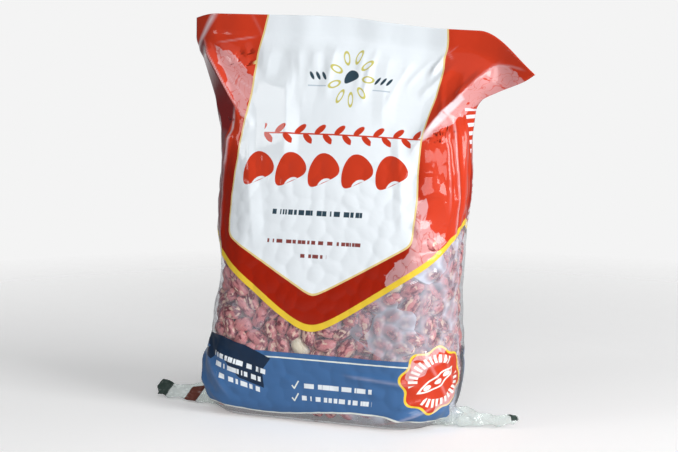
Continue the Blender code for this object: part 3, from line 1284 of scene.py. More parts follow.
class FilmPrint:
    """The print on both panels, with painted shade and painted sheen, worked out from the film's own
    coordinates.
    """

    def __init__(self, tree: bpy.types.NodeTree, layout: PrintLayout) -> None:
        """Read the film's coordinates, in mm."""
        self.tree = tree
        self.at = layout
        film_place = tree.nodes.new("ShaderNodeUVMap")
        film_place.uv_map = "film_place"
        split = tree.nodes.new("ShaderNodeSeparateXYZ")
        tree.links.new(film_place.outputs[0], split.inputs[0])
        self.round = Field(tree, split.outputs[0]) * MM
        self.up = Field(tree, split.outputs[1]) * MM
        self.back = self.round.math("GREATER_THAN", layout.fold)
        self.front = self.back.inverse()
        self.across = self.round - self.back * (2 * layout.fold)
        stray = tree.nodes.new("ShaderNodeTexNoise")
        stray.noise_dimensions = "2D"
        stray.inputs["Scale"].default_value = layout.ragged_scale
        stray.inputs["Detail"].default_value = 2.0
        stray.inputs["Distortion"].default_value = 0.8
        tree.links.new(film_place.outputs[0], stray.inputs["Vector"])
        self.stray = (Field(tree, stray.outputs[0]) - 0.5) * 10.0

    def side_line(self, stations: Stations) -> Field:
        """A smooth line of how far a side of the shield is from the middle, by height.

        Args:
            stations: Heights and distances, in mm.

        Returns:
            The distance at each height.
        """
        reach, top = 100.0, stations[-1][0]
        node = self.tree.nodes.new("ShaderNodeFloatCurve")
        line = node.mapping.curves[0]
        line.points[0].location = (stations[0][0] / top, stations[0][1] / reach)
        line.points[1].location = (1.0, stations[-1][1] / reach)
        for height, value in stations[1:-1]:
            line.points.new(height / top, value / reach)
        node.mapping.update()
        self.tree.links.new((self.up * (1 / top)).socket, node.inputs["Value"])
        return Field(self.tree, node.outputs[0]) * reach

    def dashes(self, x: Field, y: Field, across: float, up: float, seed: float) -> Field:
        """A line of dashes of uneven length, in the place of small words.

        Args:
            x: Coordinate along the line, from its middle.
            y: Coordinate across the line, from its middle.
            across: Half the line's length.
            up: Half the dashes' height.
            seed: Which pattern of dashes.

        Returns:
            A mask.
        """
        pattern = self.tree.nodes.new("ShaderNodeTexNoise")
        pattern.noise_dimensions = "1D"
        pattern.inputs["Scale"].default_value = 0.30
        pattern.inputs["Detail"].default_value = 1.0
        self.tree.links.new((x + seed).socket, pattern.inputs["W"])
        on = (Field(self.tree, pattern.outputs["Fac"]) - 0.455).math("MULTIPLY", 40.0, clamp=True)
        return box(x, y, across, up).inside() * on

    def patch(self, corners: Stations) -> Field:
        """Distance to a patch with straight sides, below 0 inside it.

        Args:
            corners: Its corners in mm, against the clock.

        Returns:
            The distance.
        """
        sides = None
        for start, end in zip(corners, corners[1:] + corners[:1]):
            size = math.hypot(end[0] - start[0], end[1] - start[1])
            out = ((end[1] - start[1]) / size, (start[0] - end[0]) / size)
            side = self.across * out[0] + self.up * out[1] - (start[0] * out[0] + start[1] * out[1])
            sides = side if sides is None else sides.higher(side)
        return sides

    def nearest_patch(self, shapes: tuple[Stations, ...]) -> Field:
        """Distance to the nearest of several patches, below 0 inside one.

        Args:
            shapes: The corners of each patch.

        Returns:
            The distance, in mm.
        """
        nearest = self.patch(shapes[0])
        for corners in shapes[1:]:
            nearest = nearest.lower(self.patch(corners))
        return nearest

    def patches(self, shapes: tuple[Stations, ...], softness: float) -> Field:
        """A mask of several patches with straight sides, in front."""
        return self.nearest_patch(shapes).inside(softness) * self.front

    def sheen_patches(self, shapes: tuple[Stations, ...]) -> Field:
        """A mask of painted sheen, pale film where lamps mirror in its creases, with ragged edges and thin
        clear lines.
        """
        clear_lines = (abs(self.stray) * 2.6).math("ADD", 0.35, clamp=True)
        ragged = self.nearest_patch(shapes) + self.stray * self.at.ragged_reach
        return ragged.inside(0.5) * clear_lines * self.front

    def fading(self, place: Field, start: float, end: float) -> Field:
        """A share that is 1 up to the start and falls evenly to 0 at the end."""
        span = end - start
        return (place * (-1 / span)).math("ADD", end / span, clamp=True)

    def field(self, painter: Painter) -> None:
        """The red field with its yellow lower edge, round the whole bag, with painted shade and painted
        sheen on the red.

        Args:
            painter: Lays the inks.
        """
        at = self.at
        slope = self.back * (at.edge_slope_back - at.edge_slope_front) + at.edge_slope_front
        shift = (self.across * self.across * (1 / at.fold ** 2)).inverse() * self.front * at.shield_tip[0]
        x = self.across - shift
        bent = (x * x + at.edge_round ** 2).math("SQRT")
        drop = (-(bent - math.hypot(at.fold, at.edge_round))) * slope
        over = (self.up + drop - at.edge_at_fold) * at.edge_upright
        red = (-over).inside()
        painter.lay(Ink.RED, red)
        # Painted shade: the red is darkened low down and to the left, fading out between 146 and 172 mm up
        # and between 58 and 78 mm across.
        full = self.fading(self.up, *at.shade_heights)
        shade_to_left = self.fading(self.across, *at.shade_fade_across)
        painter.lay(Ink.RED_PAINTED_SHADE, red * full * shade_to_left)
        # Painted shade: the top-left facet, darkened to maroon where it faces away from the light.
        painter.lay(Ink.FOLD_PAINTED_SHADE, red * self.patches(at.dark_fold, 1.0) * at.fold_shade_share)
        # Painted shade and painted sheen: the left flank, unlit and mirroring a grey backdrop, as a greyed
        # maroon.
        painter.lay(Ink.FLANK_SHADE_AND_SHEEN, red * self.patches(at.veiled_fold, 5.0) * at.flank_shade_and_sheen_share)
        # Painted sheen over the red, and a painted highlight along the right ear's crest.
        painter.lay(Ink.PALE_PINK, red * self.sheen_patches(at.sheen_patches) * at.sheen_share)
        painter.lay(Ink.PALE_PINK, red * self.patches(at.crest, 1.8) * at.crest_highlight_share)
        row = (self.up - at.side_row_top).repeated(at.side_row_pitch)
        rows = (abs(row) - at.side_row_half).inside()
        painter.lay(Ink.PALE_PINK, self.patches(at.side_rows, 0.4) * rows)
        painter.lay(Ink.YELLOW, (abs(over) - at.edge_width / 2).inside())

    def shield(self, painter: Painter) -> None:
        """The white shield in front, with a thin gold outline.

        Args:
            painter: Lays the inks.
        """
        at = self.at
        x = self.across - at.shield_tip[0]
        bottom = (x * x + 16.0).math("SQRT") * at.shield_slope + (at.shield_tip[1] - 2.0)
        left = -self.across - self.side_line(at.shield_left)
        right = self.across - self.side_line(at.shield_right)
        sides = left.higher(right)
        distance = sides.rounded_higher((bottom - self.up) * at.shield_upright, at.shield_corner)
        painter.lay(Ink.GOLD, (distance - at.outline).inside() * self.front)
        painter.lay(Ink.WHITE, distance.inside() * self.front)

    def emblem(self, painter: Painter) -> None:
        """A bean in a ring of petals between two sprigs, at the top of the shield.

        Args:
            painter: Lays the inks.
        """
        x = self.across - self.at.emblem[0]
        y = self.up - self.at.emblem[1]
        far = x.length_with(y)
        beside = (abs(abs(x) - 24.0) - 6.6).inside() * self.front
        leaves = ellipse(*turned((abs(x) - 24.0).repeated(4.4), y, 52), 2.7, 1.0)
        painter.lay(Ink.NAVY, leaves.inside() * beside)
        painter.lay(Ink.GREY, (abs(y + 5.6) - 0.35).inside() * beside)
        angle = y.math("ARCTAN2", x).repeated(math.tau / 9)
        petal = ellipse(far * angle.math("COSINE") - 12.6, far * angle.math("SINE"), 4.6, 2.1)
        painter.lay(Ink.OLIVE, petal.inside() * self.front)
        painter.lay(Ink.WHITE, (petal + 0.8).inside() * self.front)
        tx, ty = turned(x, y, 24)
        painter.lay(Ink.NAVY, kidney(tx, ty, 5.6, 3.3, 0.05).inside() * self.front)

    def rows(self, painter: Painter) -> None:
        """A sprig, a row of beans and small lines of dashes, down the middle of the shield.

        Args:
            painter: Lays the inks.
        """
        x, y = self.across - 8.0, self.up - 171.0
        on_row = box(x, y, 60.0, 7.5).inside() * self.front
        cell = x.repeated(15.0)
        leaf_up = ellipse(*turned(cell + 2.2, y - 2.6, 32), 4.6, 1.9)
        leaf_down = ellipse(*turned(cell - 4.2, y + 2.6, -32), 4.6, 1.9)
        stem = abs(y) - 0.45
        painter.lay(Ink.RED, leaf_up.lower(leaf_down).lower(stem).inside() * on_row)

        x, y = self.across + 3.0, self.up - 149.0
        on_row = box(x, y, 62.5, 12.0).inside() * self.front
        tx, ty = turned(x.repeated(25.0), y, 22)
        painter.lay(Ink.RED, kidney(tx, ty, 12.0, 8.6, 0.030).inside() * on_row)
        scar = kidney(tx + 0.8, ty + 4.6, 4.8, 0.9, 0.05)
        painter.lay(Ink.WHITE, scar.inside() * on_row)

        lines = ((Ink.NAVY, -4.5, 126.0, 33.0, 1.5), (Ink.MAROON, -5.0, 109.0, 34.5, 1.1),
                 (Ink.MAROON, -4.8, 101.0, 9.5, 1.1))
        for number, (ink, middle, height, half, thick) in enumerate(lines):
            mask = self.dashes(self.across - middle, self.up - height, half, thick, 40.0 * number)
            painter.lay(ink, mask * self.front)

    def band(self, painter: Painter) -> None:
        """The blue band at the foot, with pale lines, two ticks and lines of dashes, and painted shade in
        its folds at the left.

        Args:
            painter: Lays the inks.
        """
        at = self.at
        foot = (self.across * 0.045).math("SINE") * 2.4 + 6.5
        end = abs(self.across) - at.band_end - self.front * 30.0
        end = end.higher((self.round - 104.0) * self.front - self.back * 10.0)
        bottom = foot - self.up
        inside = (self.up - at.band_top).higher(bottom).higher(end)
        painter.lay(Ink.BLUE, inside.inside())
        on_band = inside.inside()
        painter.lay(Ink.PALE, (abs(self.up - (at.band_top - 3.4)) - 0.42).inside() * on_band)
        painter.lay(Ink.PALE, (abs(bottom + 0.6) - 0.5).inside() * on_band)

        front = on_band * self.front
        # Painted shade in the folds at the band's left.
        for corners in at.doubled:
            painter.lay(Ink.BLUE_PAINTED_SHADE, self.patch(corners).inside() * self.front)
        for number, height in enumerate((23.6, 16.0)):
            x, y = self.across + 11.6, self.up - height
            stroke = box(*turned(x - 0.7, y - 0.2, 58), 2.9, 0.45)
            hook = box(*turned(x + 1.5, y + 1.2, -48), 1.3, 0.45)
            painter.lay(Ink.PALE, stroke.lower(hook).inside() * front)
            mask = self.dashes(self.across - 18.0, y, 25.0, 1.45, 200.0 + 55.0 * number)
            painter.lay(Ink.WHITE, mask * front)
        lean = self.up + (self.across + 52.0) * 0.22
        for number, height in enumerate((34.0, 28.5, 22.0)):
            half, pattern = 20.0 - 2 * number, 400.0 + 70.0 * number
            mask = self.dashes(self.across + 53.0, lean - height, half, 1.5, pattern)
            painter.lay(Ink.WHITE, mask * front)
        for number, height in enumerate((31.0, 24.0, 17.0)):
            mask = self.dashes(self.across, self.up - height, 62.0, 1.4, 700.0 + 90.0 * number)
            painter.lay(Ink.WHITE, mask * on_band * self.back)

    def badge(self, painter: Painter) -> None:
        """The scalloped badge at the right of the band: a pod between two arcs of short strokes, with
        painted sheen over it.

        Args:
            painter: Lays the inks.
        """
        x = (self.across - self.at.badge[0]) * (1 / self.at.badge_stretch)
        y = self.up - self.at.badge[1]
        far = x.length_with(y)
        angle = y.math("ARCTAN2", x)
        lobes = (angle * 8.0 + 0.6).math("COSINE") * 1.3
        distance = far - lobes - 19.4
        painter.lay(Ink.YELLOW, distance.inside() * self.front)
        painter.lay(Ink.RED, (distance + 1.3).inside() * self.front)
        tx, ty = turned(x, y, 33)
        pod = (ellipse(tx, ty - 6.5, 17.0, 10.0)).higher(ellipse(tx, ty + 6.5, 17.0, 10.0))
        painter.lay(Ink.PALE, pod.inside() * self.front)
        painter.lay(Ink.RED, (pod + 0.9).inside() * self.front)
        seeds = ellipse(tx.repeated(6.6), ty, 2.2, 1.3).higher(abs(tx) - 9.9)
        painter.lay(Ink.PALE, seeds.inside() * self.front)
        spoke = angle.repeated(math.tau / 30) * far
        strokes = (abs(spoke) - 0.75).higher(abs(far - 13.2) - 2.3).higher(-(abs(ty) - 5.2))
        painter.lay(Ink.PALE, strokes.inside() * self.front)
        # Painted sheen over the badge.
        painted_sheen = self.sheen_patches(self.at.badge_sheen_patches) * distance.inside()
        painter.lay(Ink.PALE_PINK, painted_sheen * self.at.badge_sheen_share)

    def back_panel(self, painter: Painter) -> None:
        """Lines of dashes and a ruled table on the red of the back.

        Args:
            painter: Lays the inks.
        """
        x, y = self.across + 64.0, self.up - 152.0
        rows = box(x, y, 43.0, 36.0).inside() * self.back
        mask = self.dashes(x + (y * 0.2439).math("ROUND") * 37.0, y.repeated(4.1), 1e4, 1.1, 900.0)
        painter.lay(Ink.WHITE, mask * rows)
        x, y = self.across - 60.0, self.up - 152.0
        table = box(x, y, 36.0, 34.0)
        painter.lay(Ink.WHITE, table.inside() * self.back)
        lines = (abs(y.repeated(8.5)) - 0.3).lower(abs(x + 12.0) - 0.3).higher(table + 1.6)
        painter.lay(Ink.GREY, lines.inside() * self.back)

    def paint(self) -> Painter:
        """Lay the whole print, each part over the ones before it."""
        painter = Painter(self.tree, Ink.RED)
        in_front = (self.shield, self.emblem, self.rows, self.band, self.badge)
        for part in (self.field, *in_front, self.back_panel):
            part(painter)
        return painter


def wrinkle_group() -> bpy.types.NodeTree:
    """A node group of fine film wrinkles, for every kind of film.

    Returns:
        The group: from a place and a scale, the height of sharp small wrinkles and a veil, 0 to 1.
    """
    name = "film_wrinkles"
    if name in bpy.data.node_groups:
        return bpy.data.node_groups[name]
    group = bpy.data.node_groups.new(name, "ShaderNodeTree")
    group.interface.new_socket("Place", in_out="INPUT", socket_type="NodeSocketVector")
    group.interface.new_socket("Scale", in_out="INPUT", socket_type="NodeSocketFloat")
    group.interface.new_socket("Height", in_out="OUTPUT", socket_type="NodeSocketFloat")
    group.interface.new_socket("Veil", in_out="OUTPUT", socket_type="NodeSocketFloat")
    given = group.nodes.new("NodeGroupInput")
    out = group.nodes.new("NodeGroupOutput")
    scale = Field(group, given.outputs["Scale"])
    ridges = []
    for factor, detail, bend in ((1.0, 2.0, 0.9), (3.1, 1.0, 0.4)):
        wave = group.nodes.new("ShaderNodeTexNoise")
        wave.inputs["Detail"].default_value = detail
        wave.inputs["Distortion"].default_value = bend
        group.links.new(given.outputs["Place"], wave.inputs["Vector"])
        group.links.new((scale * factor).socket, wave.inputs["Scale"])
        ridges.append(abs(Field(group, wave.outputs["Fac"]) - 0.5) * (1.0 / factor))
    group.links.new((ridges[0] + ridges[1]).socket, out.inputs["Height"])
    bend = group.nodes.new("ShaderNodeTexNoise")
    bend.inputs["Detail"].default_value = 1.0
    group.links.new(given.outputs["Place"], bend.inputs["Vector"])
    group.links.new((scale * 1.4).socket, bend.inputs["Scale"])
    bent = group.nodes.new("ShaderNodeVectorMath")
    bent.operation = "MULTIPLY_ADD"
    bent.inputs[1].default_value = (0.012, 0.012, 0.012)
    group.links.new(bend.outputs["Color"], bent.inputs[0])
    group.links.new(given.outputs["Place"], bent.inputs[2])
    patch = group.nodes.new("ShaderNodeTexVoronoi")
    group.links.new(bent.outputs[0], patch.inputs["Vector"])
    group.links.new((scale * 1.5).socket, patch.inputs["Scale"])
    cell = group.nodes.new("ShaderNodeSeparateColor")
    group.links.new(patch.outputs["Color"], cell.inputs[0])
    veil = Field(group, cell.outputs[0]).math("POWER", 2.2)
    group.links.new(veil.socket, out.inputs["Veil"])
    return group


@dataclass(frozen=True)
class FilmFinish:
    """Glossy clear film with opaque print: how much it veils what lies behind, and how it shines."""

    name: str
    haze: float
    contact_haze: float
    roughness: float = 0.10
    wrinkle_scale: float = 40.0
    wrinkle_depth: float = 0.0003
    refraction: float = 1.44
    tint: tuple[float, float, float] = (0.97, 0.98, 0.99)
    haze_colour: tuple[float, float, float] = (0.62, 0.66, 0.77)

    def start(self) -> tuple[bpy.types.Material, bpy.types.NodeTree]:
        """A new material with an empty node tree."""
        material = bpy.data.materials.new(self.name)
        material.use_nodes = True
        material.node_tree.nodes.clear()
        return material, material.node_tree

    def mirror(self, tree: bpy.types.NodeTree, normal: bpy.types.NodeSocket) -> Field:
        """How strongly the clear film mirrors, alike from both sides: little head on, fully at a graze.

        Args:
            tree: The material's node tree.
            normal: The wrinkled normal.

        Returns:
            The share of light that it mirrors.
        """
        slant = tree.nodes.new("ShaderNodeLayerWeight")
        slant.inputs["Blend"].default_value = 0.5
        tree.links.new(normal, slant.inputs["Normal"])
        head_on = 2 * ((self.refraction - 1) / (self.refraction + 1)) ** 2
        return Field(tree, slant.outputs["Facing"]).math("POWER", 5.0) * (1 - head_on) + head_on

    def finish(self, tree: bpy.types.NodeTree, painter: Painter, contact: Field | None,
               veil_sheen_and_shade: Field | None = None) -> None:
        """Join the print and the clear film into one surface.

        Args:
            tree: The material's node tree.
            painter: The inks that are laid so far.
            contact: Where the film lies on a bean and so looks clearer, or None.
            veil_sheen_and_shade: How many times the film veils more than plain film does, or None; more
                veil stands in for painted sheen and less for painted shade.
        """
        nodes, links = tree.nodes, tree.links
        place = nodes.new("ShaderNodeTexCoord")
        wrinkles = nodes.new("ShaderNodeGroup")
        wrinkles.node_tree = wrinkle_group()
        wrinkles.inputs["Scale"].default_value = self.wrinkle_scale
        links.new(place.outputs["Object"], wrinkles.inputs["Place"])
        bump = nodes.new("ShaderNodeBump")
        bump.inputs["Strength"].default_value = 1.0
        bump.inputs["Distance"].default_value = self.wrinkle_depth
        links.new(wrinkles.outputs["Height"], bump.inputs["Height"])

        ink = nodes.new("ShaderNodeBsdfPrincipled")
        ink.inputs["Roughness"].default_value = 0.42
        ink.inputs["Specular IOR Level"].default_value = 0.1
        ink.inputs["Coat Weight"].default_value = 0.65
        ink.inputs["Coat Roughness"].default_value = self.roughness
        ink.inputs["Coat IOR"].default_value = self.refraction
        links.new(painter.colour, ink.inputs["Base Color"])
        for socket in ("Normal", "Coat Normal"):
            links.new(bump.outputs["Normal"], ink.inputs[socket])

        open_film = nodes.new("ShaderNodeBsdfTransparent")
        open_film.inputs["Color"].default_value = (*self.tint, 1.0)
        milk = nodes.new("ShaderNodeBsdfDiffuse")
        milk.inputs["Color"].default_value = (*self.haze_colour, 1.0)
        links.new(bump.outputs["Normal"], milk.inputs["Normal"])
        veil = Field(tree, wrinkles.outputs["Veil"]) * (0.60 * self.haze) + 0.40 * self.haze
        if contact is not None:
            clearer = contact * (1 - self.contact_haze / self.haze)
            veil = veil * clearer.inverse()
        if veil_sheen_and_shade is not None:
            veil = (veil * veil_sheen_and_shade).lower(0.9)
        veiled = nodes.new("ShaderNodeMixShader")
        links.new(veil.socket, veiled.inputs[0])
        links.new(open_film.outputs[0], veiled.inputs[1])
        links.new(milk.outputs[0], veiled.inputs[2])

        gloss = nodes.new("ShaderNodeBsdfGlossy")
        gloss.inputs["Roughness"].default_value = self.roughness
        links.new(bump.outputs["Normal"], gloss.inputs["Normal"])
        clear = nodes.new("ShaderNodeMixShader")
        links.new(self.mirror(tree, bump.outputs["Normal"]).socket, clear.inputs[0])
        links.new(veiled.outputs[0], clear.inputs[1])
        links.new(gloss.outputs[0], clear.inputs[2])

        surface = nodes.new("ShaderNodeMixShader")
        links.new(painter.cover.socket, surface.inputs[0])
        links.new(clear.outputs[0], surface.inputs[1])
        links.new(ink.outputs[0], surface.inputs[2])
        output = nodes.new("ShaderNodeOutputMaterial")
        links.new(surface.outputs[0], output.inputs["Surface"])

    def printed(self) -> bpy.types.Material:
        """The film of the bag, with its print, clearer spots over the beans, a painted highlight along
        crease crests, and painted sheen and shade in its veil.
        """
        material, tree = self.start()
        film_print = FilmPrint(tree, PrintLayout())
        painter = film_print.paint()
        # Painted highlight: pale colour laid along the crease crests, as the vertices hold it.
        crest_sheen = tree.nodes.new("ShaderNodeAttribute")
        crest_sheen.attribute_name = "crest_sheen"
        painter.lay(Ink.PALE_PINK, Field(tree, crest_sheen.outputs["Fac"]) * 0.8)
        touch = tree.nodes.new("ShaderNodeAttribute")
        touch.attribute_name = "touch"
        # Painted sheen and painted shade in the veil: the film veils more towards the right, where a lamp
        # mirrors, and less at the foot, where shade falls.
        sheen_rightwards = (film_print.across * (1 / 80.0)).math("ADD", 0.0, clamp=True)
        shade_at_foot = (film_print.up * (1 / 9.0)).math("ADD", 0.0, clamp=True)
        self.finish(tree, painter, Field(tree, touch.outputs["Fac"]), (sheen_rightwards * 1.8 + 0.75) * shade_at_foot)
        return material

    def ear(self, patches: tuple[tuple[Ink, float, float, float, float], ...]) -> bpy.types.Material:
        """The film of a floor ear, with the patches of print that lie on it.

        Args:
            patches: Ink, place along the ear and across it, and half sizes, in mm.

        Returns:
            The material.
        """
        material, tree = self.start()
        leaf = tree.nodes.new("ShaderNodeUVMap")
        leaf.uv_map = "leaf"
        split = tree.nodes.new("ShaderNodeSeparateXYZ")
        tree.links.new(leaf.outputs[0], split.inputs[0])
        x, y = Field(tree, split.outputs[0]) * MM, Field(tree, split.outputs[1]) * MM
        painter = Painter(tree, Ink.GREEN)
        for ink, along, up, half_long, half_up in patches:
            painter.lay(ink, box(x - along + (y - up) * 0.35, y - up, half_long, half_up).inside())
        self.finish(tree, painter, None)
        return material


def skin_group() -> bpy.types.NodeTree:
    """A node group of the streaky mottling on a bean's skin.

    Returns:
        The group: from a place on the bean and an amount, a mask of dark streaks and one of pale spots.
    """
    group = bpy.data.node_groups.new("bean_skin", "ShaderNodeTree")
    group.interface.new_socket("Place", in_out="INPUT", socket_type="NodeSocketVector")
    group.interface.new_socket("Amount", in_out="INPUT", socket_type="NodeSocketFloat")
    group.interface.new_socket("Streaks", in_out="OUTPUT", socket_type="NodeSocketFloat")
    group.interface.new_socket("Spots", in_out="OUTPUT", socket_type="NodeSocketFloat")
    given = group.nodes.new("NodeGroupInput")
    out = group.nodes.new("NodeGroupOutput")
    amount = Field(group, given.outputs["Amount"])
    stretch = group.nodes.new("ShaderNodeVectorMath")
    stretch.operation = "MULTIPLY"
    stretch.inputs[1].default_value = (0.62, 1.0, 1.0)
    group.links.new(given.outputs["Place"], stretch.inputs[0])
    for name, scale, base in (("Streaks", 330.0, 0.66), ("Spots", 420.0, 0.74)):
        speckle = group.nodes.new("ShaderNodeTexNoise")
        speckle.inputs["Scale"].default_value = scale
        speckle.inputs["Detail"].default_value = 1.6
        speckle.inputs["Distortion"].default_value = 0.4
        group.links.new(stretch.outputs[0], speckle.inputs["Vector"])
        level = Field(group, speckle.outputs["Fac"]) + amount * 0.22 - base
        group.links.new(level.math("MULTIPLY_ADD", 8.0, 0.5, clamp=True).socket, out.inputs[name])
    return group


@dataclass(frozen=True)
class BeanFinish:
    """A bean's skin: its ground colour, its darker streaks and its paler spots, in linear colour."""

    name: str
    ground: tuple[float, float, float]
    streak: tuple[float, float, float]
    spot: tuple[float, float, float]
    amount: float
    roughness: float = 0.33

    def material(self) -> bpy.types.Material:
        """Make the finish.

        Returns:
            The material, which reads the attributes skin_at and bean_tone of the beans' mesh.
        """
        material = bpy.data.materials.new(self.name)
        material.use_nodes = True
        tree = material.node_tree
        shader = tree.nodes["Principled BSDF"]
        skin_at = tree.nodes.new("ShaderNodeAttribute")
        skin_at.attribute_name = "skin_at"
        tone = tree.nodes.new("ShaderNodeAttribute")
        tone.attribute_name = "bean_tone"
        skin = tree.nodes.new("ShaderNodeGroup")
        skin.node_tree = bpy.data.node_groups.get("bean_skin") or skin_group()
        tree.links.new(skin_at.outputs["Vector"], skin.inputs["Place"])
        amount = Field(tree, tone.outputs["Fac"]) * 0.55 + self.amount
        tree.links.new(amount.socket, skin.inputs["Amount"])
        streaked = mix_over(tree, self.ground, self.streak, skin.outputs["Streaks"])
        spotted = mix_over(tree, streaked, self.spot, skin.outputs["Spots"])
        tree.links.new(spotted, shader.inputs["Base Color"])
        shader.inputs["Roughness"].default_value = self.roughness
        bump = tree.nodes.new("ShaderNodeBump")
        bump.inputs["Strength"].default_value = 0.35
        bump.inputs["Distance"].default_value = 0.0004
        tree.links.new(skin.outputs["Streaks"], bump.inputs["Height"])
        tree.links.new(bump.outputs["Normal"], shader.inputs["Normal"])
        return material


@dataclass(frozen=True)
class CoreFinish:
    """Beans behind the loose ones, in painted shade: dark maroon lumps with black gaps."""

    name: str = "packed_beans_painted_shade"
    dark: tuple[float, float, float] = (0.020, 0.008, 0.010)
    light: tuple[float, float, float] = (0.190, 0.060, 0.060)
    lump_scale: float = 92.0

    def material(self) -> bpy.types.Material:
        """Make the finish."""
        material = bpy.data.materials.new(self.name)
        material.use_nodes = True
        tree = material.node_tree
        shader = tree.nodes["Principled BSDF"]
        place = tree.nodes.new("ShaderNodeTexCoord")
        lumps = tree.nodes.new("ShaderNodeTexVoronoi")
        lumps.inputs["Scale"].default_value = self.lump_scale
        tree.links.new(place.outputs["Object"], lumps.inputs["Vector"])
        # Painted shade: the lumps dark maroon and the gaps between them black.
        ramp = tree.nodes.new("ShaderNodeValToRGB")
        ramp.color_ramp.elements[0].color = (*self.light, 1.0)
        ramp.color_ramp.elements[1].color = (*self.dark, 1.0)
        ramp.color_ramp.elements[1].position = 0.62
        tree.links.new(lumps.outputs["Distance"], ramp.inputs["Fac"])
        tree.links.new(ramp.outputs["Color"], shader.inputs["Base Color"])
        shader.inputs["Roughness"].default_value = 0.6
        return material


